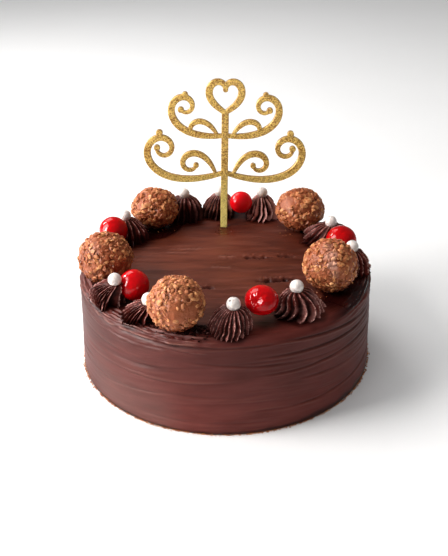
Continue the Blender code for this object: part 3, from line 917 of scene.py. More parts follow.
# Polished patch before the stick: how far before it, and the square of its half width
POLISH = (9.0, 60.0)
# Painted sheen on the middle of the top: place and half widths
PAINTED_TOP_SHEEN_MIDDLE = (-12.0, 8.0)
PAINTED_TOP_SHEEN_HALF_WIDTHS = (44.0, 34.0)


def make_cake(material):
    """The round cake: relief and looks of its side, rim and top in one piece."""
    grid, faces = cake_grid()
    angle, radius, height, out, up, along = grid.T
    x, y = radius * np.cos(angle), radius * np.sin(angle)
    flat = up > FLAT_UP
    inner = (1.0 - smooth_step(*INNER_TOP, radius)) * flat
    streaks = streak_relief(angle, along)
    tears, torn = tear_depth(x, y)
    lip, pressed, raised = lip_relief(angle, along)
    stick_x, stick_y = x - ORNAMENT_FOOT[0], y - ORNAMENT_FOOT[1]
    from_stick = np.hypot(stick_x / (0.5 * STICK_WIDTH), stick_y / (0.5 * ORNAMENT_THICKNESS))
    hole = (1.0 - smooth_step(*HOLE_REACH, from_stick)) * flat

    around = round_relief(x, y, angle, along) + streaks
    straight = straight_relief(x, y) - tears * inner - INNER_TOP_LOWERING
    relief = around * (1.0 - inner) + straight * inner + lip
    relief = relief * smooth_step(0.0, 3.0, height) - HOLE_DEPTH * hole
    points = place_at(radius, angle, height) + relief[:, None] * place_at(out, angle, up)
    points = np.vstack([points, np.zeros(3)])
    faces += [(len(grid), (column + 1) % CAKE_SEGMENTS, column) for column in range(CAKE_SEGMENTS)]

    before, area = POLISH
    # Painted shade in the tears, between the lip's ridges, in the stick's hole and along the foot
    dark = np.maximum(torn, 0.0) * inner + pressed + 0.8 * hole + 0.85 * painted_foot_shade_share(angle, height)
    centre = bell((x - PAINTED_TOP_SHEEN_MIDDLE[0]) / PAINTED_TOP_SHEEN_HALF_WIDTHS[0])
    centre = centre * bell((y - PAINTED_TOP_SHEEN_MIDDLE[1]) / PAINTED_TOP_SHEEN_HALF_WIDTHS[1])
    attributes = {
        "inner_top": inner,
        # Painted shade in the grooves of the side's streaks, and a painted highlight on their crests
        "hollow": np.clip(-1.6 * streaks, 0.0, 1.0) * (1.0 - inner),
        "high": np.clip(2.2 * streaks, 0.0, 1.0) * (1.0 - inner),
        "polish": np.exp(-(stick_x**2 + (stick_y + before) ** 2) / area) * inner,
        "pressed": np.clip(dark, 0.0, 1.0),
        "band": along - band_arch(angle),
        # Painted light on the side: lighter toward the foot, darker at the left
        "tone": 1.0 + (painted_light_side_tone(angle, height) - 1.0) * (1.0 - up),
        # A painted greyish sheen at the side's foot, front left
        "greyed": painted_sheen_share(angle, height) * (1.0 - up),
        "raised": np.clip(raised - 0.38 * np.minimum(torn, 0.0) * inner, 0.0, 1.0),
        "smeared": np.maximum(0.8 * painted_shadow_round_rosettes(x, y), painted_shadow_band_share(x, y)) * (up > 0.5),
        # A painted sheen on the middle of the top
        "centre": centre * inner,
    }
    attributes = {label: np.append(values, 0.0) for label, values in attributes.items()}
    settle(add_piece("cake_ganache", points, faces, material, attributes), "cake")


# Round toppings


def node_ball(name):
    """Middle and half sizes of a round solid, in millimetres."""
    low, high = (np.array(corner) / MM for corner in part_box(name))
    return 0.5 * (low + high), 0.5 * (high - low)


# Where a ball's coat is smooth: direction, half angle in degrees, share of the chips missing, bloom
SMOOTH_PATCHES = {
    "nut_ball_1": [
        ((0.05, -1.0, 0.0), 26.0, 1.0, 0.0),
        ((0.55, -0.82, 0.12), 24.0, 1.0, 0.0),
        ((0.1, -0.85, 0.45), 12.0, 0.7, 0.0),
    ],
    "nut_ball_2": [((-0.25, -0.60, 0.75), 12.0, 0.8, 0.1)],
    "nut_ball_3": [((-0.70, -0.50, 0.30), 14.0, 0.8, 0.1)],
    "nut_ball_4": [((-0.70, -0.45, 0.55), 24.0, 0.8, 0.15)],
    "nut_ball_5": [
        ((-0.15, -0.28, 0.95), 14.0, 0.1, 0.2),
        ((-0.10, -0.69, 0.72), 17.0, 0.3, 0.4),
        ((-0.02, -0.88, 0.48), 15.0, 0.3, 0.5),
        ((0.02, -0.98, 0.19), 12.0, 0.1, 0.25),
    ],
}
# How light the coat of each ball is, and how coarse
BALL_COATS = {
    "nut_ball_1": (0.52, 1.0),
    "nut_ball_2": (0.14, 1.1),
    "nut_ball_3": (0.04, 1.3),
    "nut_ball_4": (0.10, 1.25),
    "nut_ball_5": (0.20, 1.05),
}
# Large bits of nut that stand out of a crust: direction and half length
SHOWN_KNOBS = {
    "nut_ball_1": [
        ((-0.38, -0.27, 0.89), 2.0),
        ((-0.30, -0.40, 0.86), 1.5),
        ((-0.95, 0.05, 0.26), 1.9),
        ((0.86, -0.24, -0.40), 1.6),
        ((0.45, -0.23, 0.86), 1.4),
        ((0.10, -0.93, 0.35), 1.2),
    ],
    "nut_ball_5": [
        ((0.52, -0.62, 0.60), 1.5),
        ((0.80, -0.55, 0.30), 1.8),
        ((0.30, -0.80, 0.70), 1.3),
        ((0.45, -0.82, -0.42), 1.5),
    ],
}
SEEDED_KNOBS = 14
KNOB_SIZES = (1.2, 1.9)
KNOB_SINK = 0.985
KNOB_SHAPE = (1.0, 0.75, 0.60)
CHIP_CREASE = 38.0
CHIP_COUNT = 1100
CHIP_SIZES = (0.5, 1.75)
PROUD_CHIP_SIZE = 1.0
# Where a ball's underside starts and where it is full, as the upward part of a direction; painted shade
# darkens it
UNDERSIDE = (-0.40, -0.75)


def patch_share(directions, patches):
    """How far each direction lies within the smooth patches, and the bloom there."""
    smooth = np.zeros(len(directions))
    bloom = np.zeros(len(directions))
    uneven = 5.0 * smooth_noise(directions * 5.0, 53)
    for toward, half_angle, bald, frost in patches:
        away = degrees_from(directions, toward) + uneven
        inside = 1.0 - smooth_step(0.5 * half_angle, 1.1 * half_angle, away)
        smooth = np.maximum(smooth, bald * inside)
        bloom = np.maximum(bloom, frost * inside)
    return smooth, bloom


def spread_directions(count, draw):
    """Evenly spread directions with a little disorder."""
    index = np.arange(count) + 0.5
    height = 1.0 - 2.0 * index / count
    turn = math.pi * (1.0 + math.sqrt(5.0)) * index
    points = place_at(np.sqrt(1.0 - height * height), turn, height)
    points += draw.normal(0.0, 0.055, points.shape)
    return points / np.linalg.norm(points, axis=1)[:, None]


CHIP_BASE = ball_of_triangles(0)


def add_chip(gathered, place, outward, size, shape, draw, **values):
    """An angular chip of a size and shape that lies flat on a surface facing outward."""
    corners, faces = CHIP_BASE
    shaped = corners * draw.uniform(0.60, 1.15, (len(corners), 1)) * (size * np.array(shape))
    turn = draw.uniform(0.0, 2.0 * math.pi)
    side = unit(np.cross(outward, (0.31, 0.17, 0.94)))
    other = np.cross(outward, side)
    first = math.cos(turn) * side + math.sin(turn) * other
    second = np.cross(outward, first)
    tilt = unit(outward + 0.45 * draw.normal(0.0, 0.5, 3))
    points = place + shaped[:, :1] * first + shaped[:, 1:2] * second + shaped[:, 2:] * tilt
    gathered.add(points, faces, **values)


def add_crust(gathered, middle, half, patches, coat, seed):
    """The lumpy coat under a ball's chips, darkened with painted shade low between its lumps and at its
    underside.
    """
    tone, coarse = coat
    directions, faces = ball_of_triangles(5)
    smooth, bloom = patch_share(directions, patches)
    places = directions * half
    lumps = 0.034 * coarse**2 * smooth_noise(places / 4.5 + seed, 51)
    lumps += 0.030 * smooth_noise(places / (1.9 * coarse) + seed, 52)
    lumps += 0.014 * smooth_noise(places / 0.9 + seed, 54)
    base = 0.955 + lumps * (1.0 - 0.6 * smooth) + 0.02 * smooth
    under = smooth_step(*UNDERSIDE, directions[:, 2])
    deep = np.maximum(np.clip(0.35 - 14.0 * lumps, 0.0, 1.0) * (1.0 - smooth), under)
    values = {"bare": 0.0, "bloom": bloom, "deep": deep, "tone": tone * (1.0 - 0.8 * smooth)}
    gathered.add(middle + places * base[:, None], faces, **values)


def add_crust_chips(gathered, middle, half, patches, coat, seed, draw):
    """Chips all over a ball, fewer on its smooth patches and where the crowd is thin."""
    tone, coarse = coat
    smallest, largest = CHIP_SIZES
    outward = spread_directions(round(CHIP_COUNT / coarse**1.4), draw)
    smooth, bloom = patch_share(outward, patches)
    crowd = 0.5 + 0.5 * smooth_noise(outward * 3.4 + seed, 55)
    for direction, covered, frost, crowded in zip(outward, smooth, bloom, crowd):
        if draw.uniform() < 0.92 * covered + 0.25 * (1.0 - crowded):
            continue
        size = coarse * smallest * (largest / smallest) ** (draw.uniform() ** 1.2)
        size *= 0.75 + 0.4 * crowded - 0.3 * covered
        shape = (draw.uniform(0.9, 1.5), 0.85, 0.75)
        place = middle + direction * half * draw.uniform(0.935, 0.965 + 0.03 * crowded)
        bare = draw.uniform() ** (1.5 if size > PROUD_CHIP_SIZE else 3.2)
        under = float(smooth_step(*UNDERSIDE, direction[2]))
        values = {"bare": bare * (1.0 - under), "bloom": frost, "deep": under, "tone": tone}
        add_chip(gathered, place, direction, size, shape, draw, **values)


def make_nut_ball(name, seed, material):
    """A ball with its lumpy coat, its chips, and the large knobs of nut that stand out."""
    draw = np.random.default_rng(100 + seed)
    middle, half = node_ball(name)
    patches, coat = SMOOTH_PATCHES[name], BALL_COATS[name]
    gathered = Gathered()
    add_crust(gathered, middle, half, patches, coat, seed)
    add_crust_chips(gathered, middle, half, patches, coat, seed, draw)
    seeded = zip(spread_directions(SEEDED_KNOBS, draw), draw.uniform(*KNOB_SIZES, SEEDED_KNOBS))
    for toward, size in SHOWN_KNOBS.get(name, []) + list(seeded):
        direction = unit(toward)
        if direction[2] < UNDERSIDE[0]:
            continue
        place = middle + direction * half * KNOB_SINK
        values = {"bare": draw.uniform(0.5, 1.0), "bloom": 0.0, "deep": 0.0, "tone": coat[0]}
        add_chip(gathered, place, direction, size, KNOB_SHAPE, draw, **values)
    settle(gathered.make(name + "_crust", material, CHIP_CREASE), name)


# Direction of each cherry's dimple, how wrinkled the skin is round it, and how much lighter the skin is
# painted: painted light on cherry_5, a little lighter on some others
CHERRY_LOOKS = {
    "cherry_1": ((0.3, 0.9, -0.2), 0.2, 0.1),
    "cherry_2": ((0.7, 0.6, -0.3), 0.2, 0.25),
    "cherry_3": ((-0.32, -0.79, 0.53), 1.0, 0.1),
    "cherry_4": ((-0.2, 0.9, 0.3), 0.2, 0.0),
    "cherry_5": ((0.1, 0.95, 0.2), 0.2, 0.9),
}
DIMPLE_DEPTH = 0.15
DIMPLE_WIDTH = math.radians(18.0)
DIMPLE_RIM = math.radians(27.0)


def make_cherry(name, material):
    """A cherry with a dimple, wrinkled round it, whose skin is a little uneven."""
    middle, half = node_ball(name)
    toward, wrinkled, tone = CHERRY_LOOKS[name]
    local, polar, turn, faces = sphere_grid(*CHERRY_GRID)
    rotation = np.array(Vector(toward).to_track_quat("Z", "Y").to_matrix())
    directions = local @ rotation.T
    dent = DIMPLE_DEPTH * bell(polar / DIMPLE_WIDTH)
    rim = bell((polar - DIMPLE_RIM) / (0.3 * DIMPLE_RIM))
    near = np.exp(-((polar / (1.3 * DIMPLE_RIM)) ** 4))
    folds = 0.5 * np.sin(9.0 * turn + 2.0 * np.sin(3.0 * turn)) * np.sin(polar)
    folds += smooth_noise(directions * 4.5, 61) + 0.5 * smooth_noise(directions * 9.0, 62)
    wrinkles = wrinkled * (0.034 * near * folds + 0.026 * rim * (1.0 + 0.8 * folds))
    scale = 1.0 - dent + wrinkles + 0.010 * smooth_noise(directions * 1.4, 63)
    points = middle + directions * half * scale[:, None]
    tones = {"tone": np.full(len(points), tone)}
    settle(add_piece(name + "_glazed", points, faces, material, tones), name)


PITTED_PEARL = "pearl_3"
PIT_TOWARD = (-0.50, -0.33, 0.80)
PIT_HALF_ANGLE = 11.0
PIT_DEPTH = 0.20


def make_pearl(name, seed, material):
    """A sugar pearl, slightly uneven; one of them has a pit."""
    middle, _ = node_ball(name)
    directions, _, _, faces = sphere_grid(*PEARL_GRID)
    scale = 1.0 + 0.010 * smooth_noise(directions * 2.2 + seed, 71)
    scale += 0.004 * smooth_noise(directions * 9.0, 72)
    pit = np.zeros(len(directions))
    if name == PITTED_PEARL:
        pit = np.exp(-((degrees_from(directions, PIT_TOWARD) / PIT_HALF_ANGLE) ** 4))
    points = middle + directions * PEARL_RADIUS * (scale - PIT_DEPTH * pit)[:, None]
    settle(add_piece(name + "_sugar", points, faces, material, {"pit": pit}), name)


# Rosettes


@dataclass
class Rosette:
    """A rosette as in the solid. Crests are the bearings of the ribs that the camera sees;
    the others stand evenly, about spacing degrees apart. Curl bows the ribs sideways.
    Low on a rosette, below a share of its height, its crests lose their painted highlight as painted shadow.
    smeared is the width of the painted shadow on the top round it, pale how strongly a painted sheen
    lightens its flanks, jagged the size of the teeth on its crests, and with
    a high lean power only its top bends toward the pearl."""

    ring: float
    bearing: float
    radius: float
    twist: float
    fullness: float
    depth: float
    crests: tuple
    spacing: float = 20.0
    curl: float = 0.0
    uneven: float = 0.06
    flare: float = 0.0
    pale: float = 0.0
    painted_foot_shadow: float = 0.0
    smeared: float = 4.5
    lean_power: float = 1.3
    jagged: float = 0.022


ROSETTES = [
    Rosette(
        73.6, -147.8, 11.0, 12.0, 1.2, 0.36, (-190, -172, -155, -141, -129, -118, -108, -98, -89, -50),
        spacing=30.0, uneven=0.10, lean_power=2.6, jagged=0.07,
    ),
    Rosette(
        70.4, -127.5, 10.5, 8.0, 1.2, 0.36, (-185, -164, -146, -133, -122, -113, -103, -80, -50),
        spacing=30.0, uneven=0.10, painted_foot_shadow=0.55, lean_power=2.6, jagged=0.07,
    ),
    Rosette(
        68.8, -88.7, 11.0, 4.0, 1.0, 0.17,
        (-186, -174, -162, -150, -138, -126, -114, -101, -87, -72, -54, -32, -8),
        spacing=16.0, curl=3.0, pale=0.10, smeared=3.2, jagged=0.035,
    ),
    Rosette(
        65.2, -54.9, 13.3, 30.0, 1.3, 0.26, (-200, -182, -165, -142, -108, -80, -46, -18, 8),
        spacing=26.0, curl=22.0, uneven=0.16, flare=0.22, pale=0.24, jagged=0.035,
    ),
    Rosette(
        69.7, -8.2, 11.3, 16.0, 1.1, 0.28, (-90, -70, -52, -37, -22, -5, 12),
        spacing=20.0, curl=8.0, uneven=0.09, painted_foot_shadow=0.35, jagged=0.08,
    ),
    Rosette(
        66.6, 26.8, 14.3, 24.0, 1.2, 0.27, (-176, -160, -136, -112, -84),
        spacing=26.0, curl=10.0, uneven=0.12, flare=0.12, pale=0.12, jagged=0.035,
    ),
    Rosette(
        70.4, 70.8, 11.0, 10.0, 1.6, 0.36, (-172, -148, -134, -108, -92, -64, -40),
        spacing=24.0, curl=14.0, uneven=0.16, flare=0.22, pale=1.6, jagged=0.045,
    ),
    Rosette(
        69.8, 93.3, 10.9, 6.0, 1.1, 0.24, (-165, -148, -132, -116, -100, -84, -66, -46, -24),
        spacing=18.0, uneven=0.09, pale=0.6, painted_foot_shadow=0.65, jagged=0.035,
    ),
    Rosette(
        68.5, 111.0, 11.5, 14.0, 0.85, 0.26, (-160, -142, -118, -100, -72, -52, -30),
        spacing=22.0, uneven=0.10, pale=0.16, painted_foot_shadow=0.9, smeared=6.0, jagged=0.04,
    ),
    Rosette(
        66.1, 149.6, 12.0, 14.0, 1.3, 0.24, (-150, -122, -96, -76, -48, -28, -8),
        spacing=22.0, painted_foot_shadow=0.6, smeared=9.0,
    ),
    Rosette(69.8, 174.7, 9.8, 10.0, 1.1, 0.22, (-120, -100, -80, -60, -40)),
]
BALL_NAMES = [f"nut_ball_{number}" for number in range(1, 6)]
CHERRY_NAMES = [f"cherry_{number}" for number in range(1, 6)]


def rosette_foot(rosette):
    """The middle of a rosette's foot on the cake's top."""
    return place_at(rosette.ring, math.radians(rosette.bearing), CAKE_HEIGHT)


def limited_reach(rosette, origin, angle, wanted, edge, round_things):
    """Shortens wanted reaches to what the neighbours and the cake's edge leave free."""
    directions = np.column_stack([np.cos(angle), np.sin(angle)])
    along = directions @ origin[:2]
    reach = np.minimum(wanted, np.sqrt(along * along + edge * edge - origin[:2] @ origin[:2]) - along)
    for centre, half in round_things:
        level = (origin[2] - centre[2]) / half[2]
        if abs(level) >= 1.0:
            continue
        radius = half[0] * math.sqrt(1.0 - level * level)
        offset = centre[:2] - origin[:2]
        along = directions @ offset
        miss = offset @ offset - along * along
        hits = (along > 0.0) & (miss < radius * radius)
        free = along - np.sqrt(np.maximum(radius * radius - miss, 0.0))
        reach = np.where(hits, np.minimum(reach, free), reach)
    foot = rosette_foot(rosette)
    for other in ROSETTES:
        apart = (rosette_foot(other) - foot)[:2]
        distance = np.linalg.norm(apart)
        if other is rosette or distance > rosette.radius + other.radius + ROSETTE_TOUCH:
            continue
        facing = directions @ (apart / distance)
        to_plane = (foot[:2] + 0.5 * apart - origin[:2]) @ (apart / distance)
        reach = np.where(facing > 0.02, np.minimum(reach, to_plane / np.maximum(facing, 0.02)), reach)
    return np.maximum(reach, LEAST_REACH)


def crest_bearings(rosette):
    """Bearings of all the crests, once round the rosette, in radians."""
    gap = 360.0 - (rosette.crests[-1] - rosette.crests[0])
    count = round(gap / rosette.spacing)
    hidden = [rosette.crests[-1] + gap * number / count for number in range(1, count)]
    return np.radians([*rosette.crests, *hidden])


def rosette_outline(rosette, level):
    """Share of the height, radius and steepness at one level: a bulge, and a dome above it."""
    if level < ROSETTE_BULGE_LEVELS:
        part = level / ROSETTE_BULGE_LEVELS
        swell = ROSETTE_FOOT_SHARE + (1.0 - ROSETTE_FOOT_SHARE) * math.sin(0.5 * math.pi * part)
        return ROSETTE_BULGE_HEIGHT * part, rosette.radius * swell, 1.0
    rise = 0.5 * math.pi * (level - ROSETTE_BULGE_LEVELS) / (ROSETTE_LEVELS - ROSETTE_BULGE_LEVELS)
    steepness = max(math.cos(rise), 0.02)
    radius = PEARL_SEAT_RIM + (rosette.radius - PEARL_SEAT_RIM) * steepness**rosette.fullness
    return ROSETTE_BULGE_HEIGHT + (1.0 - ROSETTE_BULGE_HEIGHT) * math.sin(rise), radius, steepness


def from_crest_to_crest(values, place):
    """A value for each crest, carried over evenly from one crest to the next."""
    before = np.repeat(values, RIB_SAMPLES)
    after = np.repeat(np.roll(values, -1), RIB_SAMPLES)
    return before * (1.0 - place) + after * place


def make_rosette(index, rosette, round_things, material):
    """A piped rosette, whose ribs twist and bow while it leans from its foot toward its pearl."""
    draw = np.random.default_rng(200 + index)
    crests = crest_bearings(rosette)
    widths = np.diff(np.append(crests, crests[0] + 2.0 * math.pi))
    ribs = len(crests)
    place = np.tile(np.arange(RIB_SAMPLES) / RIB_SAMPLES, ribs)
    rib = np.repeat(np.arange(ribs), RIB_SAMPLES)
    width = widths[rib]
    turn = crests[rib] + place * width
    groove = np.abs(np.sin(math.pi * place)) ** 0.8
    valley = np.minimum(rosette.depth * (width / widths.mean()) ** 0.6, DEEPEST_VALLEY)
    size = from_crest_to_crest(1.0 + rosette.uneven * draw.uniform(-1.0, 0.6, ribs), place)
    flare = from_crest_to_crest(rosette.flare * draw.uniform(-0.6, 1.0, ribs), place)
    foot = rosette_foot(rosette)
    pearl, _ = node_ball(f"pearl_{index}")
    tip_height = pearl[2] - math.sqrt((PEARL_RADIUS + 0.1) ** 2 - PEARL_SEAT_RIM**2)
    foot_height = CAKE_HEIGHT - ROSETTE_FOOT_SINK
    rows, crest_rows = [], []
    for level in range(ROSETTE_LEVELS + 1):
        share, radius, steepness = rosette_outline(rosette, level)
        origin = foot + (pearl - foot) * share**rosette.lean_power
        origin[2] = foot_height + (tip_height - foot_height) * share
        bow = math.radians(rosette.twist * share + rosette.curl * math.sin(math.pi * share))
        angle = turn + bow + 0.05 * noise_over(81 + index, rib * 1.7, 5.0 * share)
        teeth = noise_over(91 + index, rib * 3.3, 20.0 * share + 0.35 * level)
        wanted = radius * (size + flare * max(0.0, 1.0 - share / FLARE_HEIGHT))
        edge = ROSETTE_EDGE_RADIUS + ROSETTE_OVERHANG * min(1.0, share / ROSETTE_BULGE_HEIGHT)
        free = limited_reach(rosette, origin, angle, wanted, edge, round_things)
        ragged = rosette.jagged * teeth * (1.0 - groove) ** 2
        reach = np.maximum(free * (1.0 - valley * steepness**0.6 * groove + ragged), LEAST_REACH)
        rows.append(origin + place_at(reach, angle, 0.0))
        from_crest = np.minimum(place, 1.0 - place) * width * reach
        near_crest = np.minimum(1.0 - groove, 1.0 - from_crest / CREST_REACH)
        # Painted shadow: low on a rosette its crests lose their painted highlight
        dark = 1.0 - smooth_step(0.6, 1.0, share / max(rosette.painted_foot_shadow, 0.01))
        crest_rows.append(np.clip(near_crest + 0.12 * teeth, 0.0, 1.0) * (1.0 - PAINTED_FOOT_SHADOW_SHARE * dark))
    low_point = np.array([foot[0], foot[1], foot_height])
    high_point = pearl - (PEARL_RADIUS - 0.2) * UP
    points = np.vstack([*rows, low_point, high_point])
    crest = np.append(np.concatenate(crest_rows), [0.0, 0.0])
    faces = capped_ring_faces(ROSETTE_LEVELS + 1, len(turn))
    blotches = np.clip(0.6 + 1.2 * smooth_noise(points / 3.2, 121), 0.0, 1.4)
    values = {"crest": crest, "pale": rosette.pale * blotches}
    piece = add_piece(f"rosette_{index}_piped", points, faces, material, values, ROSETTE_CREASE)
    settle(piece, f"rosette_{index}")


# Ornament


@dataclass
class Stroke:
    """A pen stroke of the ornament. Its curvature (1/mm) grows from first to last by power."""

    start: tuple
    heading: float
    first_curve: float
    last_curve: float
    power: float
    length: float
    widths: tuple
    end_radius: float


# Half of the ornament; the other half is its mirror image across the stick.
STROKES = [
    Stroke((0.0, 35.0), -20.0, 0.012, 0.27, 2.3, 93.0, (2.6, 4.4, 2.0), 1.9),
    Stroke((5.0, 33.5), 68.0, -0.012, -0.30, 1.3, 42.0, (1.8, 3.7, 1.6), 1.7),
    Stroke((0.0, 58.0), -8.0, 0.018, 0.31, 2.2, 68.0, (2.4, 4.2, 1.8), 1.8),
    Stroke((4.0, 57.5), 60.0, -0.02, -0.36, 1.4, 30.0, (1.6, 3.2, 1.4), 1.5),
    Stroke((0.0, 71.5), 37.0, -0.0116, 0.2947, 1.083, 31.7, (2.6, 4.2, 2.6), 1.3),
]
# Round beads on the right half: x, height and radius
BEADS = [(38.5, 59.2, 2.0), (23.2, 82.1, 1.7)]
STROKE_STEP = 0.8
EDGE_BEVEL = 0.35
DISC_CORNERS = 28
STICK_STEP = 2.0
ORNAMENT_CREASE = 30.0
# Each stroke's plate is this much thinner on each face than the one before
THINNER = 0.02


def stroke_path(stroke):
    """Points, unit normals and half widths along a stroke."""
    steps = round(stroke.length / STROKE_STEP)
    step = stroke.length / steps
    place = np.array(stroke.start)
    heading = math.radians(stroke.heading)
    first, middle, last = stroke.widths
    path = []
    for index in range(steps + 1):
        share = index / steps
        ends = first * (1.0 - share) + last * share
        swell = (middle - 0.5 * (first + last)) * math.sin(math.pi * share)
        path.append((place, np.array([-math.sin(heading), math.cos(heading)]), 0.5 * (ends + swell)))
        bend = ((index + 0.5) / steps) ** stroke.power
        turn = (stroke.first_curve + (stroke.last_curve - stroke.first_curve) * bend) * step
        middle_heading = heading + 0.5 * turn
        place = place + step * np.array([math.cos(middle_heading), math.sin(middle_heading)])
        heading += turn
    return path


def bevelled_section(half_width, half_thickness):
    """Corners of a plate's cross-section: across the stroke, and through the plate."""
    a, b = half_width, half_thickness
    c = min(EDGE_BEVEL, 0.45 * half_width)
    upper = [(a, c - b), (a, b - c), (a - c, b), (c - a, b)]
    return upper + [(-across, -through) for across, through in upper]


def add_stroke(gathered, path, side, half_thickness):
    """A bevelled plate that follows a path, on one side of the stick."""
    rows = []
    for place, normal, half_width in path:
        for across, through in bevelled_section(half_width, half_thickness):
            flat = place + across * normal
            rows.append((side * flat[0], through, flat[1]))
    corners = len(rows) // len(path)
    faces = ring_faces(len(path), corners)
    faces.append(range(corners)[::-1])
    faces.append(range(len(rows) - corners, len(rows)))
    if side < 0:
        faces = [tuple(reversed(face)) for face in faces]
    gathered.add(np.array(rows), faces)


def add_disc(gathered, x, z, radius, half_thickness):
    """A round plate with bevelled edges."""
    turn = 2.0 * math.pi * np.arange(DISC_CORNERS) / DISC_CORNERS
    bevel = min(EDGE_BEVEL, 0.45 * radius)
    outline = [(radius - bevel, -half_thickness), (radius, bevel - half_thickness)]
    outline += [(radius, half_thickness - bevel), (radius - bevel, half_thickness)]
    rows = []
    for reach, through in outline:
        ring = [x + reach * np.cos(turn), np.full(DISC_CORNERS, through), z + reach * np.sin(turn)]
        rows.append(np.column_stack(ring))
    points = np.vstack(rows)
    faces = [face[::-1] for face in ring_faces(len(outline), DISC_CORNERS)]
    faces.append(range(DISC_CORNERS))
    faces.append(range(len(points) - DISC_CORNERS, len(points))[::-1])
    gathered.add(points, faces)


def make_ornament(material):
    """The stick, and on each side of it strokes with round ends, and beads."""
    gathered = Gathered()
    half = 0.5 * ORNAMENT_THICKNESS
    steps = round((STICK_TOP + STICK_DEPTH) / STICK_STEP)
    stick = []
    for index in range(steps + 1):
        height = -STICK_DEPTH + (STICK_TOP + STICK_DEPTH) * index / steps
        stick.append((np.array([0.0, height]), np.array([-1.0, 0.0]), 0.5 * STICK_WIDTH))
    add_stroke(gathered, stick, 1, half)
    for layer, (side, stroke) in enumerate(itertools.product((1, -1), STROKES), start=1):
        path = stroke_path(stroke)
        add_stroke(gathered, path, side, half - THINNER * layer)
        x, z = path[-1][0]
        add_disc(gathered, side * x, z, stroke.end_radius, half - THINNER * (layer + 0.5))
    for side, (x, z, radius) in itertools.product((1, -1), BEADS):
        add_disc(gathered, side * x, z, radius, half)
    lean = np.array(Matrix.Rotation(ORNAMENT_LEAN, 3, "Y"))
    gathered.points = [ORNAMENT_FOOT + points @ lean.T for points in gathered.points]
    settle(gathered.make("topper_glitter", material, ORNAMENT_CREASE), "topper")


# Crumbs and the smear of cream

CRUMBS_PER_BALL = 16
CRUMB_SHAPE = (1.0, 0.8, 0.6)
FOOT_CRUMBS = 1600
FOOT_CRUMB_SHAPE = (1.0, 0.8, 0.5)


def make_crumbs(material):
    """Nut crumbs fallen round the balls."""
    draw = np.random.default_rng(300)
    gathered = Gathered()
    for name in BALL_NAMES:
        middle, half = node_ball(name)
        for _ in range(CRUMBS_PER_BALL):
            turn = draw.uniform(0.0, 2.0 * math.pi)
            reach = half[0] * draw.uniform(0.45, 1.12)
            place = middle * (1.0 - UP) + place_at(reach, turn, CAKE_HEIGHT)
            if np.hypot(place[0], place[1]) > FLAT_RADIUS:
                continue
            size = draw.uniform(0.22, 0.6)
            values = {"bare": draw.uniform(0.2, 1.0), "bloom": 0.0, "deep": 0.0, "tone": 0.0}
            add_chip(gathered, place + 0.15 * UP, UP, size, CRUMB_SHAPE, draw, **values)
    settle(gathered.make("nut_crumbs", material, CHIP_CREASE))


def make_foot_crumbs(material):
    """Fine crumbs along the foot of the cake."""
    draw = np.random.default_rng(310)
    gathered = Gathered()
    for _ in range(FOOT_CRUMBS):
        turn = draw.uniform(0.0, 2.0 * math.pi)
        reach = FOOT_RADIUS + 0.1 + min(0.42 * abs(draw.normal()), 1.4)
        size = draw.uniform(0.2, 0.6)
        place = place_at(reach, turn, 0.55 * size)
        values = {"bare": draw.uniform(0.1, 0.9), "bloom": 0.0, "deep": draw.uniform(0.0, 0.7), "tone": 0.0}
        add_chip(gathered, place, UP, size, FOOT_CRUMB_SHAPE, draw, **values)
    settle(gathered.make("foot_crumbs", material, CHIP_CREASE))


SMEAR_BEARINGS = (-125.0, -96.0)
SMEAR_RINGS = (66.0, 79.6)
SMEAR_HEIGHT = 2.4
FLAKE_COUNT = 90
FLAKE_SHAPE = (1.5, 0.8, 0.35)
SMEAR_GRID = (44, 190)
SMEAR_CREASE = 50.0


def rim_drop(reach):
    """How far the rim's rounding lies below the flat top."""
    return RIM_ROUNDING - np.sqrt(RIM_ROUNDING**2 - np.maximum(reach - FLAT_RADIUS, 0.0) ** 2)


def add_smear_bank(gathered):
    """A low ragged bank along the rim."""
    rows, columns = SMEAR_GRID
    run, across = np.meshgrid(np.linspace(0.0, 1.0, columns), np.linspace(0.0, 1.0, rows))
    run, across = run.ravel(), across.ravel()
    first, last = np.radians(SMEAR_BEARINGS)
    inmost, outmost = SMEAR_RINGS
    ragged = 1.6 * noise_over(95, run * 14.0) + 0.7 * noise_over(97, run * 45.0)
    ring = inmost + (outmost + ragged - 1.6 - inmost) * across
    ridges = 1.0 - np.abs(noise_over(96, run * 26.0 + 5.0 * across, across * 5.0)) * 1.6
    ridges = np.clip(ridges, 0.0, 1.0)
    lumps = noise_over(98, run * 40.0, across * 9.0)
    fade = np.sin(math.pi * run) ** 0.4 * np.clip(1.0 - across**6, 0.0, 1.0)
    bank = 0.25 + 0.45 * np.sin(math.pi * across) + 0.3 * ridges + 0.25 * lumps
    height = CAKE_HEIGHT - rim_drop(ring) - 0.5 + (0.5 + SMEAR_HEIGHT) * fade * bank
    points = place_at(ring, first + (last - first) * run, height)
    index = np.arange((rows - 1) * columns).reshape(rows - 1, columns)[:, :-1].ravel()
    faces = np.column_stack([index + 1, index + columns + 1, index + columns, index]).tolist()
    # The bank's ridges get the cream's painted crest highlight
    gathered.add(points, faces, crest=0.45 * ridges**5 * fade, pale=0.0)


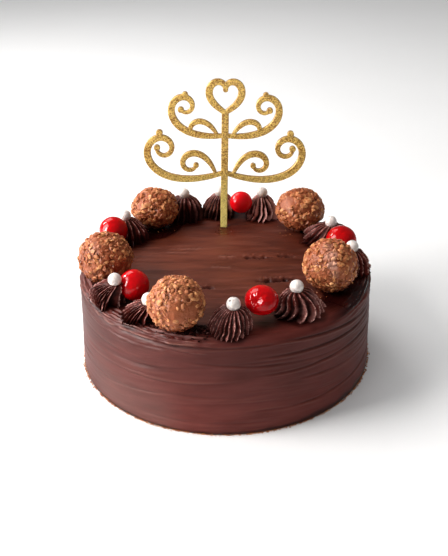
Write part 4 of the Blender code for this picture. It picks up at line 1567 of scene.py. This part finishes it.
def make_smear(material):
    """The squashed cream under the front ball: the bank, with loose flakes."""
    gathered = Gathered()
    add_smear_bank(gathered)
    draw = np.random.default_rng(320)
    inmost, outmost = SMEAR_RINGS
    for _ in range(FLAKE_COUNT):
        bearing = math.radians(draw.uniform(*SMEAR_BEARINGS))
        ring = draw.uniform(inmost + 3.0, outmost)
        lift = draw.uniform(0.2, 1.6) * (outmost - ring) / (outmost - inmost) + 0.3
        place = place_at(ring, bearing, CAKE_HEIGHT - rim_drop(ring) + lift)
        size = draw.uniform(0.5, 1.3)
        # Each flake gets a random share of the cream's painted crest highlight
        crest = draw.uniform() ** 2
        add_chip(gathered, place, UP, size, FLAKE_SHAPE, draw, crest=crest, pale=0.0)
    settle(gathered.make("cream_smear", material, SMEAR_CREASE))


# Stage


CAMERA_PLACE = Vector((-0.7, -400.4, 262.9)) * MM
CAMERA_PITCH = 0.498
CAMERA_ROLL = -0.010
FOCAL_PIXELS = 800.0
IMAGE_HEIGHT = 556.0
SENSOR = 36.0
# Softboxes, in metres: place, target, size, power, colour, and whether they light glossy
# and diffuse reflections
SOFTBOXES = {
    "window": ((-0.72, -0.13, 0.41), (0.0, 0.0, 0.04), (0.42, 0.78), 13.2, (1.0, 0.98, 0.97), True, True),
    "ceiling": ((-0.5, 0.1, 1.9), (0.0, 0.0, 0.0), (3.0, 3.0), 30.0, (0.98, 0.99, 1.0), False, True),
    "back_window": ((-0.42, 0.62, 0.72), (0.0, 0.0, 0.05), (0.5, 0.5), 3.6, (1.0, 0.99, 0.98), True, True),
    "left_pane": ((-0.70, -0.36, 0.32), (0.0, 0.0, 0.06), (0.20, 0.46), 13.0, (1.0, 0.93, 0.90), True, False),
    "back_pane": ((-0.64, 0.34, 0.45), (0.0, 0.0, 0.06), (0.11, 0.26), 5.5, (1.0, 0.93, 0.90), True, False),
}
FLOOR_HALF = 4000.0
ROOM_COLOUR = (1.0, 0.99, 0.98, 1.0)
ROOM_LIGHT = 0.16


def make_camera():
    """The camera that took the photograph, as fitted to the cake's edges."""
    data = bpy.data.cameras.new("camera")
    data.sensor_width = SENSOR
    data.lens = FOCAL_PIXELS * SENSOR / IMAGE_HEIGHT
    data.clip_start = 0.01
    data.clip_end = 50.0
    camera = bpy.data.objects.new("camera", data)
    bpy.context.scene.collection.objects.link(camera)
    level = Matrix.Rotation(0.5 * math.pi - CAMERA_PITCH, 4, "X")
    camera.matrix_world = Matrix.Translation(CAMERA_PLACE) @ level @ Matrix.Rotation(CAMERA_ROLL, 4, "Z")
    bpy.context.scene.camera = camera


def add_softbox(name, place, target, size, power, colour, in_gloss, in_diffuse):
    """A rectangular light at a place, facing its target."""
    data = bpy.data.lights.new(name, "AREA")
    data.shape = "RECTANGLE"
    data.size, data.size_y = size
    data.energy = power
    data.color = colour
    light = bpy.data.objects.new(name, data)
    light.location = place
    light.rotation_euler = (Vector(target) - Vector(place)).to_track_quat("-Z", "Y").to_euler()
    light.visible_glossy = in_gloss
    light.visible_diffuse = in_diffuse
    bpy.context.scene.collection.objects.link(light)


def make_stage():
    """The floor, the softboxes and the pale room round them."""
    corners = [(-1.0, -1.0, 0.0), (1.0, -1.0, 0.0), (1.0, 1.0, 0.0), (-1.0, 1.0, 0.0)]
    floor = add_piece("floor", np.array(corners) * FLOOR_HALF, [(0, 1, 2, 3)], floor_surface())
    for name, values in SOFTBOXES.items():
        add_softbox(name, *values)
    world = bpy.data.worlds.new("pale_room")
    world.use_nodes = True
    background = world.node_tree.nodes["Background"]
    background.inputs["Color"].default_value = ROOM_COLOUR
    background.inputs["Strength"].default_value = ROOM_LIGHT
    bpy.context.scene.world = world
    bpy.context.scene.view_settings.view_transform = "Standard"


def main():
    """Makes every piece and the stage."""
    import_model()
    ganache, cream, nut = ganache_surface(), cream_surface(), nut_surface()
    cherry_red, nacre, gold = cherry_surface(), pearl_surface(), gold_surface()

    make_cake(ganache)
    for seed, name in enumerate(BALL_NAMES):
        make_nut_ball(name, seed, nut)
    for name in CHERRY_NAMES:
        make_cherry(name, cherry_red)
    round_things = [node_ball(name) for name in BALL_NAMES + CHERRY_NAMES]
    for index, rosette in enumerate(ROSETTES, start=1):
        make_rosette(index, rosette, round_things, cream)
        make_pearl(f"pearl_{index}", index, nacre)
    make_ornament(gold)
    make_crumbs(nut)
    make_foot_crumbs(nut)
    make_smear(cream)
    make_camera()
    make_stage()


main()
